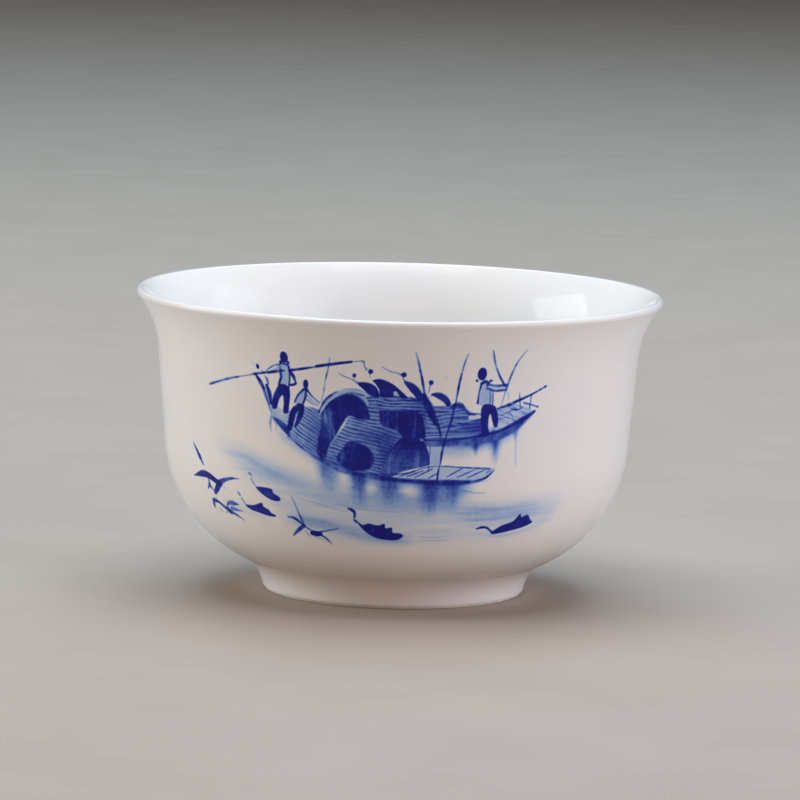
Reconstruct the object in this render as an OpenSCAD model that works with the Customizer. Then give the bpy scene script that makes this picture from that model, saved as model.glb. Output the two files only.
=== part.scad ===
// Handleless porcelain teacup with a flared lip, a turned foot ring and a cobalt river scene.
// Millimetres. The origin is the centre of the foot's resting face, +Z is the cup's axis,
// and the painted front faces -Y.

/* [Overall] */
// Diameter across the flared lip
rim_d = 80; // [74:0.5:88]
// Height from the resting face to the crown of the lip
cup_h = 45.75; // [43:0.25:52]
// Thickness of the rounded lip, glaze included
lip_t = 1.2; // [1:0.1:1.6]

/* [Wall] */
// Radius of the round belly, from the foot up to the straight wall
belly_r = 21.1; // [19:0.1:21.5]
// Angle from the vertical at which the belly springs from the foot
belly_spring = 67.4; // [60:0.2:72]
// Lean of the straight wall, outwards from the vertical
wall_lean = 5; // [3:0.5:7]
// Radius of the outward curl under the lip
flare_r = 14.6; // [12:0.1:16]
// Angle from the vertical at which the curl meets the lip
flare_end = 40; // [34:1:44]

/* [Well] */
// Lean of the inner wall, which makes the wall thicker towards the belly
well_lean = 8.4; // [7.5:0.1:9]
// Height at which the inner wall turns into the round bottom of the well
well_turn_z = 20.6; // [20:0.1:22]
// Radius of that turn
well_r = 15.6; // [15:0.1:16]

/* [Foot] */
// Diameter of the foot ring just above its bare edge
foot_d = 39.9; // [38:0.1:42]
// Height of the crease where the foot meets the belly
foot_h = 4.6; // [4.4:0.1:5]
// Inner diameter of the resting face
foot_bore_d = 35.4; // [33:0.1:36]
// Height of the ceiling inside the foot ring
ceiling_z = 3.8; // [3.4:0.1:4]

/* [Glaze and painting] */
// Thickness of the fired glaze
glaze_t = 0.2; // [0.15:0.05:0.3]
// Height to which the foot ring is wiped clean of glaze
bare_h = 0.6; // [0.5:0.1:1]
// Thickness of one layer of cobalt colour
film_t = 0.03; // [0.02:0.01:0.05]

/* [Hidden] */
$fn = 96;

biscuit = [0.93, 0.92, 0.88];
glaze = [0.95, 0.96, 0.97];
cobalt = [0.14, 0.20, 0.58];
cobalt_mid = [0.36, 0.45, 0.72];
cobalt_pale = [0.66, 0.74, 0.86];

// Arc points as [radius, height, tangent angle from the vertical], from angle a0 to a1.
// The arc bulges outwards when the angle falls on the way up and hollows when it grows.
function arc(r0, z0, a0, a1, rad, steps) =
    let (way = a1 > a0 ? 1 : -1)
    [for (i = [0:steps]) let (a = a0 + (a1 - a0) * i / steps)
        [r0 + way * rad * (cos(a0) - cos(a)), z0 + way * rad * (sin(a) - sin(a0)), a]];

// A line of [radius, height, angle] moved by d, square to itself: towards the axis when d > 0
function shifted(line, d) = [for (q = line) [q[0] - d * cos(q[2]), q[1] + d * sin(q[2])]];
function reversed(list) = [for (i = [len(list) - 1:-1:0]) list[i]];
// The same points without any that repeats the one before it
function distinct(pts) =
    [for (i = [0:len(pts) - 1]) if (i == 0 || norm(pts[i] - pts[i - 1]) > 0.005) pts[i]];

// Lip: a round edge whose centre sits half the lip's thickness inside its crown and its rim
lip_r = lip_t / 2;
lip_centre = [rim_d / 2 - lip_r, cup_h - lip_r];
lip_foot = lip_centre + lip_r * [cos(flare_end), -sin(flare_end)];
lip_well = lip_centre - lip_r * [cos(flare_end), -sin(flare_end)];
function lip(a0, a1, depth, steps) =
    [for (i = [0:steps]) let (a = a0 + (a1 - a0) * i / steps)
        lip_centre + (lip_r - depth) * [cos(a), sin(a)]];

// Outer face, worked out downwards from the lip: curl, straight wall, belly, crease
flare_out = flare_r * (cos(wall_lean) - cos(flare_end));
flare_up = flare_r * (sin(flare_end) - sin(wall_lean));
belly_out = belly_r * (cos(wall_lean) - cos(belly_spring));
belly_up = belly_r * (sin(belly_spring) - sin(wall_lean));
flare_z = lip_foot[1] - flare_up;
wall_top_r = lip_foot[0] - flare_out;
wall_z = foot_h + belly_up;
wall_bottom_r = wall_top_r - (flare_z - wall_z) * tan(wall_lean);
crease_r = wall_bottom_r - belly_out;
belly_line = arc(crease_r, foot_h, belly_spring, wall_lean, belly_r, 16);
flare_line = arc(wall_top_r, flare_z, wall_lean, flare_end, flare_r, 9);
bowl_line = concat(belly_line, flare_line);

// Hollow outer face of the foot, leaning out a little and ending at the crease
foot_r = foot_d / 2;
foot_lean = 11;
foot_chord = [crease_r - foot_r, foot_h - bare_h];
foot_chord_a = atan2(foot_chord[0], foot_chord[1]);
foot_end_a = 2 * foot_chord_a - foot_lean;
foot_hollow_r = norm(foot_chord) / (2 * sin((foot_end_a - foot_lean) / 2));
foot_line = arc(foot_r, bare_h, foot_lean, foot_end_a, foot_hollow_r, 9);

// Inner face, from the middle of the well up to the lip
well_flare_r = flare_r + 1;
well_flare_out = well_flare_r * (cos(well_lean) - cos(flare_end));
well_flare_up = well_flare_r * (sin(flare_end) - sin(well_lean));
well_flare_z = lip_well[1] - well_flare_up;
well_top_r = lip_well[0] - well_flare_out;
well_turn_r = well_top_r - (well_flare_z - well_turn_z) * tan(well_lean);
floor_a = 80;
floor_r = well_turn_r - well_r * (cos(well_lean) - cos(floor_a));
floor_z = well_turn_z - well_r * (sin(floor_a) - sin(well_lean));
floor_dish_r = floor_r / cos(floor_a);
middle_z = floor_z - floor_dish_r * (1 - sin(floor_a));
well_line = concat(
    arc(0, middle_z, 90, floor_a, floor_dish_r, 3),
    arc(floor_r, floor_z, floor_a, well_lean, well_r, 14),
    arc(well_top_r, well_flare_z, well_lean, flare_end, well_flare_r, 8));

// Underside inside the foot ring: a wall that narrows upwards into a filleted ceiling
bore_r = foot_bore_d / 2;
bore_draft = 6;
bore_fillet = 1.2;
seam_z = ceiling_z + glaze_t;
function bore(depth) =
    let (top = ceiling_z + depth, r = bore_r + depth - (top - bare_h) * tan(bore_draft),
         f = bore_fillet - depth)
    [for (i = [0:5]) let (a = 90 * i / 5) [r - f + f * cos(a), top - f + f * sin(a)]];
edge_in_r = bore_r + 0.3;
edge_out_r = foot_r - 0.4;

// The bowl's biscuit wall meets the foot ring on a flat seam just above the ceiling.
// The foot's outer face, under its glaze, is cut there into a lower and an upper stretch.
cut_below = [for (q = shifted(foot_line, glaze_t)) if (q[1] < seam_z - 0.01) q];
cut_above = [for (q = shifted(foot_line, glaze_t)) if (q[1] > seam_z + 0.01) q];
last_below = cut_below[len(cut_below) - 1];
seam_mix = (seam_z - last_below[1]) / (cut_above[0][1] - last_below[1]);
seam_edge = last_below * (1 - seam_mix) + cut_above[0] * seam_mix;

// Fired clay wall of the bowl, under its glazes
module porcelain_bowl() {
    outside = concat([[0, seam_z], seam_edge], cut_above, shifted(belly_line, glaze_t),
                     shifted(flare_line, glaze_t));
    round_lip = lip(-flare_end + 15, 180 - flare_end - 15, glaze_t, 8);
    color(biscuit)
    rotate_extrude()
        polygon(distinct(concat(outside, round_lip, reversed(shifted(well_line, -glaze_t)))));
}

// Turned foot: a ring under the bowl, bare where it stands
module foot_ring() {
    inner = bore(glaze_t);
    color(biscuit)
    rotate_extrude()
        polygon(distinct(concat(
            [[edge_in_r, 0], [edge_out_r, 0], [foot_r - glaze_t, 0.35]],
            cut_below, [seam_edge, [inner[5][0], seam_z]], reversed(inner),
            [[bore_r + glaze_t, bare_h], [bore_r + glaze_t, 0.25]])));
}

// Clear glaze on the outside, from the bare edge of the foot to the outer half of the lip
module outer_glaze() {
    surface = concat(foot_line, belly_line, flare_line);
    mid = 90 - flare_end;
    color(glaze)
    rotate_extrude()
        polygon(distinct(concat(
            shifted(surface, 0), lip(-flare_end + 12, mid, 0, 6),
            lip(mid, -flare_end + 12, glaze_t, 6), reversed(shifted(surface, glaze_t)))));
}

// Clear glaze in the well, up and over the inner half of the lip
module inner_glaze() {
    mid = 90 - flare_end;
    end = 180 - flare_end - 12;
    color(glaze)
    rotate_extrude()
        polygon(distinct(concat(
            shifted(well_line, 0), lip(end, mid, 0, 6),
            lip(mid, end, glaze_t, 6), reversed(shifted(well_line, -glaze_t)))));
}

// Clear glaze on the ceiling and wall inside the foot ring
module base_glaze() {
    color(glaze)
    rotate_extrude()
        polygon(distinct(concat(
            [[bore_r, bare_h]], bore(0), [[0, ceiling_z], [0, seam_z]],
            reversed(bore(glaze_t)), [[bore_r + glaze_t, bare_h]])));
}

// Painting. A motif is drawn flat, in millimetres along and up the wall, and is cut out of
// a thin shell on the glaze. Layers lie on one another as the brush put them down.
paint_r = wall_top_r;
skin_line = [for (q = bowl_line) if (q[1] > 8) q];
module film(layer, along) {
    intersection() {
        rotate_extrude()
            polygon(concat(shifted(skin_line, -layer * film_t),
                           reversed(shifted(skin_line, -(layer + 1) * film_t))));
        rotate([90, 0, 180 / PI * along / paint_r])
            translate([-along, 0, paint_r / 2])
                linear_extrude(height = rim_d / 2) children();
    }
}

// Brush stroke along a few points, w0 wide at its start and w1 at its end
function across(pts, i) =
    let (a = pts[max(i - 1, 0)], b = pts[min(i + 1, len(pts) - 1)], d = (b - a) / norm(b - a))
    [-d[1], d[0]];
function bank(pts, w0, w1, way) =
    [for (i = [0:len(pts) - 1])
        pts[i] + way * (w0 + (w1 - w0) * i / (len(pts) - 1)) / 2 * across(pts, i)];
module stroke(pts, w0, w1) {
    polygon(concat(bank(pts, w0, w1, 1), reversed(bank(pts, w0, w1, -1))));
}

// Near boat: the planked side that sweeps down from the stern, and the open bow deck
module painted_near_hull() {
    color(cobalt)
    film(1, -4) {
        polygon([[-22.4, 36.2], [-19.6, 32.2], [-17.8, 30.8], [-13, 32.6], [-10.6, 26.6],
                 [-9.4, 24], [-11.5, 24.6], [-16.4, 27.2], [-19.4, 29.2]]);
        polygon([[-0.5, 22.4], [6, 24], [15.4, 23.2], [13.6, 21.6], [10.4, 20.8], [5, 21.2]]);
    }
}

// Near boat: the arched mat roof, the round opening at each end and the mats between
module painted_near_cabin() {
    color(cobalt_mid)
    film(1, -4) {
        polygon([[-12.4, 31.8], [-10.4, 34.4], [-7.6, 35.4], [-4.8, 34], [-3.6, 30.6],
                 [-8.8, 24.4], [-10.2, 26.6]]);
        polygon([[-3.2, 30.4], [-0.4, 28.4], [-1.2, 26.4], [-2.2, 22.6], [-7.8, 23.4]]);
        polygon([[-1.8, 22.9], [-0.8, 26.4], [1.2, 28.1], [4, 27.6], [5.3, 25.4], [5.4, 24],
                 [-0.8, 22.7]]);
    }
}

// Far boat: the long dark hull that lifts to the bow on the right
module painted_far_hull() {
    color(cobalt)
    film(1, 10) {
        polygon([[5.8, 27.4], [13.2, 28.4], [18.4, 30], [21.8, 32.4], [20.4, 32.8],
                 [14.8, 30.6], [5.8, 28.6]]);
    }
}

// Far boat: the mat roof with its window, and the striped mats behind the poles
module painted_far_cabin() {
    color(cobalt_mid)
    film(1, 4) {
        difference() {
            polygon([[-3.2, 31], [-4.2, 33.8], [4.4, 34.2], [9.6, 33], [13, 30.4],
                     [5.6, 29], [5.4, 27.8], [0, 28.8]]);
            polygon([[-1.8, 32], [3.6, 31.6], [4.2, 30], [-0.8, 30.4]]);
        }
    }
}

// Boatmen, seen from behind and without faces: two standing and one seated
module standing_man(lean) {
    polygon([[-0.9, -5.6], [-0.3, -5.4], [0, -2.6], [0.5, -5], [1.1, -4.8], [1.2, -1.6],
             [1 + lean, 1.8], [-0.5 + lean, 2], [-1.2, -1.4]]);
    translate([lean + 0.2, 2.9]) circle(d = 1.5, $fn = 10);
}
module painted_boatmen() {
    color(cobalt)
    film(2, -4) {
        translate([-17.6, 36.4]) standing_man(0.2);
        translate([13.6, 34.8]) standing_man(-0.6);
        translate([-14.4, 33.2])
            polygon([[-2.4, -3.4], [-1.4, -3.6], [-0.6, -1.2], [1.6, -0.6], [0.4, 1.6],
                     [-0.4, 1.5], [-2, -0.6]]);
        translate([-13.8, 35.5]) circle(d = 1.1, $fn = 10);
    }
}

// Cormorants resting along the two roofs: a wedge of body with a thin neck and bill
module perched_bird() {
    polygon([[-2, 1], [-1, 1.1], [0.4, 0.5], [1.5, -0.7], [1.2, -1.5], [-0.2, -0.9]]);
    stroke([[-1.4, 1], [-1.9, 1.8], [-1.7, 2.8], [-3, 3.2]], 0.5, 0.25);
}
module painted_perched_birds() {
    color(cobalt)
    film(2, 0) for (spot = [[-4.6, 35.4], [-1.6, 35.8], [2.6, 35.4], [6.4, 34.2]])
        translate(spot) perched_bird();
}

// Cormorants swimming: a low dark back, a ragged wing tip and a raised neck
module swimming_bird() {
    polygon([[-2.6, 1.3], [-0.6, 1], [1.2, -0.1], [3.4, -0.6], [3, -1.5], [0.4, -1.6],
             [-1.8, -0.4]]);
    stroke([[-2.4, 0.9], [-3.1, 2], [-3, 3], [-4, 3.3]], 0.5, 0.3);
}
module painted_swimming_birds() {
    color(cobalt)
    film(2, -12) {
        translate([-20.6, 18.8]) scale(0.75) swimming_bird();
        translate([-22.4, 16.4]) scale(0.75) swimming_bird();
        translate([-1.8, 14.2]) swimming_bird();
    }
    color(cobalt)
    film(2, 20) translate([20.4, 14.6]) mirror([0, 1]) scale(0.8) swimming_bird();
}

// Terns low over the water: two swept wings across a short body
module tern(turn) {
    rotate(turn) {
        stroke([[-2.6, -0.4], [-1, 0.5], [0, 0]], 0.25, 0.7);
        stroke([[2.4, 1], [1.1, 0.9], [0, 0]], 0.25, 0.7);
        stroke([[0.3, 0.6], [-0.4, -1.4]], 0.6, 0.2);
    }
}
module painted_terns() {
    color(cobalt)
    film(2, -32) {
        stroke([[-36.6, 23.6], [-34.4, 21]], 0.3, 0.5);
        translate([-32.8, 18.6]) tern(0);
        translate([-31.6, 15.2]) tern(-20);
    }
    color(cobalt)
    film(2, -13) {
        translate([-14, 13.4]) tern(-35);
        stroke([[-16.6, 18.2], [-13.8, 14]], 0.15, 0.35);
    }
}

// Poles, oars, the carrying pole, the bow rail and the long water lines
module painted_poles() {
    color(cobalt)
    film(3, -4) {
        stroke([[-31, 33.8], [-18, 36.6], [-6.2, 39.4]], 0.5, 0.3);
        stroke([[-10, 39.6], [-11.4, 33.6]], 0.3, 0.25);
        stroke([[2.4, 41], [6.4, 29]], 0.3, 0.6);
        stroke([[9.8, 40.8], [6.4, 22.2]], 0.3, 0.6);
        stroke([[-16.2, 18.2], [6.4, 17]], 0.1, 0.2);
    }
    color(cobalt)
    film(3, 16) {
        stroke([[13.6, 41], [16, 36]], 0.3, 0.3);
        stroke([[18.8, 41.3], [16.2, 36.2], [15.8, 33]], 0.3, 0.3);
        stroke([[14.6, 32.4], [23.2, 35.6]], 0.3, 0.4);
        stroke([[18.2, 27.6], [18.8, 23.2]], 0.3, 0.1);
    }
}

// Soft washes: reflections under both boats and the drift of the current
module painted_wash() {
    color(cobalt_pale)
    film(0, -10) {
        stroke([[-28, 24.4], [-20, 22.4], [-11.6, 20.6]], 1.5, 3);
        polygon([[-11, 23.4], [-4, 21.6], [5, 20.4], [10, 20.2], [8, 17.4], [-2, 18],
                 [-11, 20]]);
        stroke([[-13, 15], [-6, 14.6]], 1, 2);
    }
    color(cobalt_pale)
    film(0, 16) {
        polygon([[6, 27], [13, 28], [18.6, 29.4], [17.6, 24.6], [16.4, 27], [13, 25.4]]);
        stroke([[9, 16.6], [17, 17], [25.6, 17.4]], 0.6, 1.8);
    }
}

porcelain_bowl();
foot_ring();
outer_glaze();
inner_glaze();
base_glaze();
painted_near_hull();
painted_near_cabin();
painted_far_hull();
painted_far_cabin();
painted_boatmen();
painted_perched_birds();
painted_swimming_birds();
painted_terns();
painted_poles();
painted_wash();
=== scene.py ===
# %% [markdown]
# # A handleless porcelain teacup with a river painted in cobalt blue
# The cup was thrown thin, turned on a wheel, painted with a brush while the clay was raw, dipped
# in clear glaze and fired once. The model follows the same order: the clay, its coats of glaze,
# then the painting, one group of brush work at a time, and last the light it is seen in.

# %% Load the fixed frame
import math

import bpy
import numpy as np
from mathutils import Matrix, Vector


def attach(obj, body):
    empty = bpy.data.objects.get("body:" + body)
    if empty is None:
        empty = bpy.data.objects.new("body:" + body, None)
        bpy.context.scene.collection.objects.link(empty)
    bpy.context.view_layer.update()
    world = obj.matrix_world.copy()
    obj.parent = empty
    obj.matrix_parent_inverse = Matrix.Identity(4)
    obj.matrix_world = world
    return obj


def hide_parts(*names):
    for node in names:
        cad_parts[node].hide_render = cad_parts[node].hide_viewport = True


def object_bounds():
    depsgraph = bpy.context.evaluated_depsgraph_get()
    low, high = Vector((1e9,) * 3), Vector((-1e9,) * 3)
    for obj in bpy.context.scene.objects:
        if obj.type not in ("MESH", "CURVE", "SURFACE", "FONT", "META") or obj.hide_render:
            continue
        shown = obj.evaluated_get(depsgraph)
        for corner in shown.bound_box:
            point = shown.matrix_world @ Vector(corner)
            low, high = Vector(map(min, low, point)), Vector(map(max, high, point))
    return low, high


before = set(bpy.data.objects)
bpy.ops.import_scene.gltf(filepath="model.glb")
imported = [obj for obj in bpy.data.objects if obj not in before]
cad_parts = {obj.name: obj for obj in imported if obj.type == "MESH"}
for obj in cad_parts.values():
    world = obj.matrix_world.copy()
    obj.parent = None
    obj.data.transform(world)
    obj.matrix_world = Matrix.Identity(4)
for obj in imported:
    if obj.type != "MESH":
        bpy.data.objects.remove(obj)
cad_low, cad_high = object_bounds()
MM = 0.001
print("CAD box in mm:", [round(v / MM, 2) for v in (*cad_low, *cad_high)])

# %% [markdown]
# ## The outline of the cup
# A thrown cup is one outline turned around an axis. The real outline is a hollow foot, a round
# belly, a straight wall and a lip that curls out. Each stretch is an arc or a line, so a few
# radii and angles give every point. A hand-drawn curve would also do, but arcs keep the glaze
# highlights even, and the painting can be laid on the very same formula.

# %% Driving sizes in millimetres, angles in degrees from the vertical
rim_r = cad_high.x / MM
cup_h = cad_high.z / MM
lip_r = 0.6
belly_r, belly_spring = 21.1, 67.4
wall_lean = 5
flare_r, flare_end = 14.6, 40
well_lean, well_turn_h, well_r, floor_lean = 8.4, 20.6, 15.6, 80
foot_r, foot_h, foot_lean, bare_h = 19.95, 4.6, 11, 0.6
recess_r, recess_h, recess_draft, recess_fillet = 17.7, 3.8, 6, 1.2
glaze_t = 0.2


def arc(r0, h0, a0, a1, radius, steps):
    """Points (radius, height, lean) on an arc whose lean goes from a0 to a1 degrees."""
    lean = np.radians(np.linspace(a0, a1, steps + 1))
    way = 1 if a1 > a0 else -1
    r = r0 + way * radius * (np.cos(lean[0]) - np.cos(lean))
    h = h0 + way * radius * (np.sin(lean) - np.sin(lean[0]))
    return np.stack([r, h, lean], axis=1)


def inset(line, depth):
    """The same line moved square to itself, towards the axis when depth is above 0."""
    r, h, lean = line.T
    return np.stack([r - depth * np.cos(lean), h + depth * np.sin(lean), lean], axis=1)


def end_of_arc(lean_from, lean_to, radius):
    """How far out and how far up an arc between two leans goes."""
    a, b = math.radians(lean_from), math.radians(lean_to)
    return radius * (math.cos(a) - math.cos(b)), radius * (math.sin(b) - math.sin(a))


lip_centre = np.array([rim_r - lip_r, cup_h - lip_r])
lip_out = np.array([math.cos(math.radians(flare_end)), -math.sin(math.radians(flare_end))])
flare_out, flare_up = end_of_arc(wall_lean, flare_end, flare_r)
wall_top = lip_centre + lip_r * lip_out - (flare_out, flare_up)
belly_out, belly_up = end_of_arc(wall_lean, belly_spring, belly_r)
wall_bottom_h = foot_h + belly_up
wall_bottom_r = wall_top[0] - (wall_top[1] - wall_bottom_h) * math.tan(math.radians(wall_lean))
crease_r = wall_bottom_r - belly_out
well_flare_r = flare_r + 1
well_out, well_up = end_of_arc(well_lean, flare_end, well_flare_r)
well_top = lip_centre - lip_r * lip_out - (well_out, well_up)
well_side_r = well_top[0] - (well_top[1] - well_turn_h) * math.tan(math.radians(well_lean))
print("outer wall starts its curl at", wall_top.round(3), "and the crease is at r", round(crease_r, 3))


# %% The faces of the cup as lines of points
def outer_line(fineness=1):
    """Foot, belly, straight wall and curl, from the bare edge up to the lip."""
    rise = math.atan2(crease_r - foot_r, foot_h - bare_h)
    chord = math.hypot(crease_r - foot_r, foot_h - bare_h)
    foot_end = 2 * math.degrees(rise) - foot_lean
    hollow = chord / (2 * math.sin(math.radians((foot_end - foot_lean) / 2)))
    foot = arc(foot_r, bare_h, foot_lean, foot_end, hollow, 12 * fineness)
    belly = arc(crease_r, foot_h, belly_spring, wall_lean, belly_r, 40 * fineness)
    steps = 16 * fineness
    wall = np.linspace(belly[-1], (*wall_top, belly[-1][2]), steps + 1)
    flare = arc(*wall_top, wall_lean, flare_end, flare_r, 20 * fineness)
    return np.concatenate([foot, belly, wall[1:-1], flare])


def lip_line(a0, a1, depth, steps):
    """The round lip between two angles measured from straight outwards."""
    turn = np.radians(np.linspace(a0, a1, steps + 1))
    ring = lip_centre + (lip_r - depth) * np.stack([np.cos(turn), np.sin(turn)], axis=1)
    return np.column_stack([ring, turn])


def well_line(depth=0):
    """The inside, from the curl at the lip down to the middle of the well."""
    floor_out, floor_up = end_of_arc(well_lean, floor_lean, well_r)
    floor_r, floor_h = well_side_r - floor_out, well_turn_h - floor_up
    dish_r = floor_r / math.cos(math.radians(floor_lean))
    middle_h = floor_h - dish_r * (1 - math.sin(math.radians(floor_lean)))
    dish = arc(0, middle_h, 90, floor_lean, dish_r, 14)
    turn = arc(floor_r, floor_h, floor_lean, well_lean, well_r, 34)
    side = np.linspace(turn[-1], (*well_top, turn[-1][2]), 22)
    curl = arc(*well_top, well_lean, flare_end, well_flare_r, 22)
    return inset(np.concatenate([dish, turn, side[1:-1], curl]), -depth)[::-1]


def recess_line(depth):
    """The inside of the foot ring, from the bare edge up and in to the middle of the ceiling."""
    top = recess_h + depth
    r = recess_r + depth - (top - bare_h) * math.tan(math.radians(recess_draft))
    fillet = recess_fillet - depth
    turn = np.radians(np.linspace(0, 90, 9))
    bend = np.stack([r - fillet + fillet * np.cos(turn), top - fillet + fillet * np.sin(turn)], axis=1)
    wall = np.linspace((recess_r + depth, bare_h), bend[0], 8)
    ceiling = np.linspace(bend[-1], (0, top), 14)
    return np.concatenate([wall[:-1], bend, ceiling[1:]])


print("points on the outer face:", len(outer_line()), "and in the well:", len(well_line()))

# %% [markdown]
# ## Turning a piece on the wheel
# In Blender the wheel is the spin tool. A plane is merged into one point, the point is extruded
# along the outline, and the outline is spun around the axis. A subdivided cylinder would also
# give a cup, but then every change of the outline would be a fight with loops.
# After the spin the seam and the pole are doubled, so they are merged, and then the faces are
# turned outwards.

# %% The wheel
TURNS = 256
SEAM = 1e-7


def lathe(name, outline):
    """Spins a closed outline, or one that starts and ends on the axis, into a round piece."""
    path = [(float(r) * MM, 0.0, float(h) * MM) for r, h in outline]
    bpy.ops.object.select_all(action="DESELECT")
    bpy.ops.mesh.primitive_plane_add(size=MM, location=(0, 0, 0))
    piece = bpy.context.object
    piece.name = piece.data.name = name
    bpy.ops.object.mode_set(mode="EDIT")
    bpy.ops.mesh.select_all(action="SELECT")
    bpy.ops.mesh.merge(type="CENTER")
    bpy.ops.transform.translate(value=path[0])
    for here, there in zip(path, path[1:]):
        step = [b - a for a, b in zip(here, there)]
        bpy.ops.mesh.extrude_region_move(TRANSFORM_OT_translate={"value": step})
    bpy.ops.mesh.select_all(action="SELECT")
    bpy.ops.mesh.spin(steps=TURNS, angle=math.tau, center=(0, 0, 0), axis=(0, 0, 1))
    bpy.ops.mesh.select_all(action="SELECT")
    bpy.ops.mesh.remove_doubles(threshold=SEAM)
    bpy.ops.mesh.normals_make_consistent(inside=False)
    bpy.ops.object.mode_set(mode="OBJECT")
    bpy.ops.object.shade_smooth_by_angle(angle=math.radians(28))
    print(name, "has", len(piece.data.polygons), "faces")
    return piece


def rounded(corner, start, end, radius, steps=5):
    """Points of a small rounded corner between two straight edges."""
    corner, start, end = (np.array(p, float) for p in (corner, start, end))
    a = corner + (start - corner) / np.linalg.norm(start - corner) * radius
    b = corner + (end - corner) / np.linalg.norm(end - corner) * radius
    t = np.linspace(0, 1, steps + 1)[:, None]
    return (1 - t) ** 2 * a + 2 * t * (1 - t) * corner + t**2 * b


# %% [markdown]
# ## The fired clay
# Under the glaze the cup is one wall of white clay. It shows only at the edge it stands on, where
# the potter wiped the glaze off so that the cup would not stick to the kiln shelf. That edge is
# softened with a sponge, so its corners are rounded here too.

# %% Clay body
MID_LIP = 90 - flare_end
outside = inset(outer_line(), glaze_t)
inside = well_line(glaze_t)
lip_outside = lip_line(-flare_end + 8, MID_LIP, glaze_t, 12)
lip_inside = lip_line(MID_LIP, 180 - flare_end - 8, glaze_t, 12)
standing_in, standing_out, edge_top = (18.0, 0), (19.55, 0), (foot_r - glaze_t, bare_h)
bare_edge = np.concatenate([
    rounded(standing_in, (recess_r + glaze_t, bare_h), standing_out, 0.25),
    rounded(standing_out, standing_in, edge_top, 0.25),
])
clay_outline = np.concatenate([
    recess_line(glaze_t)[::-1],
    bare_edge,
    outside[:, :2],
    lip_outside[:, :2],
    lip_inside[1:, :2],
    inside[:, :2],
])
clay = lathe("clay_body", clay_outline)

# %% [markdown]
# ## The glaze
# The cup is dipped, so one glassy coat runs over the outside, the lip and the well, and a second
# lies on the ceiling inside the foot. Each coat is a thin closed shell that lies on the clay. The
# coat ends just above the standing edge in a small rolled bead, where the wet glaze drew back.

# %% Glaze coats
BEAD = 0.16


def bead(surface_end, clay_end):
    """A half-round end between the outer skin of a coat and the clay below it."""
    middle = (np.array(surface_end) + np.array(clay_end)) / 2
    reach = np.linalg.norm(np.array(surface_end) - middle)
    out = (np.array(surface_end) - middle) / reach
    turn = np.radians(np.linspace(150, 30, 5))
    down = np.array([0, -1])
    return np.array([middle - reach * out * math.cos(t) + BEAD * down * math.sin(t) for t in turn])


skin = outer_line()
outer_outline = np.concatenate([
    bead(skin[0][:2], outside[0][:2]),
    skin[:, :2],
    lip_line(-flare_end + 5, MID_LIP, 0, 16)[:, :2],
    lip_outside[::-1][:, :2],
    outside[::-1][:, :2],
])
outer_coat = lathe("glaze_outside", np.vstack([outer_outline, outer_outline[:1]]))

well_skin = well_line()
inner_outline = np.concatenate([
    lip_line(MID_LIP, 180 - flare_end - 5, 0, 16)[:, :2],
    well_skin[:, :2],
    inside[::-1][:, :2],
    lip_inside[::-1][:, :2],
])
inner_coat = lathe("glaze_inside", np.vstack([inner_outline, inner_outline[:1]]))

recess_skin, recess_clay = recess_line(0), recess_line(glaze_t)
base_outline = np.concatenate([
    bead(recess_skin[0], recess_clay[0]), recess_skin, recess_clay[::-1],
])
base_coat = lathe("glaze_under_foot", np.vstack([base_outline, base_outline[:1]]))

# %% [markdown]
# ## A sheet to paint on
# The picture runs around the wall, so it is planned on a flat sheet: s is the way along the wall
# and h is the height, both in millimetres. Every point of the sheet holds how much cobalt lies
# there, from 0 to 1, and which group of brush work reached it last. Brush lines, filled shapes
# and washes add to it, and a damp brush lifts it. A picture file would be quicker, but amounts of
# pigment worked out from strokes stay sharp at any distance, and each mark can be changed.

# %% The sheet and its brushes
WALL_R = wall_top[0]
TOUCHED = 0.004


class Sheet:
    """A flat patch of the wall, with the amount of cobalt at each point."""

    def __init__(self, left, right, bottom, top, step):
        self.along = np.arange(left, right + step / 2, step)
        self.up = np.arange(bottom, top + step / 2, step)
        self.s, self.h = np.meshgrid(self.along, self.up)
        self.ink = np.zeros_like(self.s)
        self.group = np.zeros(self.s.shape, int)
        self.now = 0

    def patch(self, left, right, bottom, top, now=None):
        """A smaller part of this sheet, on the same paint."""
        rows = slice(*np.searchsorted(self.up, (bottom, top)))
        columns = slice(*np.searchsorted(self.along, (left, right)))
        part = object.__new__(Sheet)
        part.along, part.up = self.along[columns], self.up[rows]
        part.s, part.h = self.s[rows, columns], self.h[rows, columns]
        part.ink, part.group = self.ink[rows, columns], self.group[rows, columns]
        part.now = self.now if now is None else now
        return part

    def around(self, points, margin):
        """The part of the sheet around some points."""
        low, high = points.min(axis=0) - margin, points.max(axis=0) + margin
        return self.patch(low[0], high[0], low[1], high[1])

    def add(self, amount):
        """Lays more pigment over what is there."""
        self.ink[...] = 1 - (1 - self.ink) * (1 - np.clip(amount, 0, 1))
        self.group[amount > TOUCHED] = self.now

    def cover(self, body, amount):
        """Paints an area to one tone, whatever was there."""
        self.ink[...] = self.ink * (1 - body) + body * np.clip(amount, 0, 1)
        self.group[body > TOUCHED] = self.now

    def lift(self, amount):
        """Takes pigment off, as a damp brush does."""
        self.ink *= 1 - np.clip(amount, 0, 1)


def mottle(x, y, seed):
    """A smooth random field between -1 and 1, with patches about one unit wide."""
    table = np.random.default_rng(seed).uniform(-1, 1, (97, 97))
    i, j = np.floor(x).astype(int), np.floor(y).astype(int)
    u, v = x - i, y - j
    u, v = u * u * (3 - 2 * u), v * v * (3 - 2 * v)
    a, b = table[i % 97, j % 97], table[(i + 1) % 97, j % 97]
    c, d = table[i % 97, (j + 1) % 97], table[(i + 1) % 97, (j + 1) % 97]
    return (a * (1 - u) + b * u) * (1 - v) + (c * (1 - u) + d * u) * v


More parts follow.
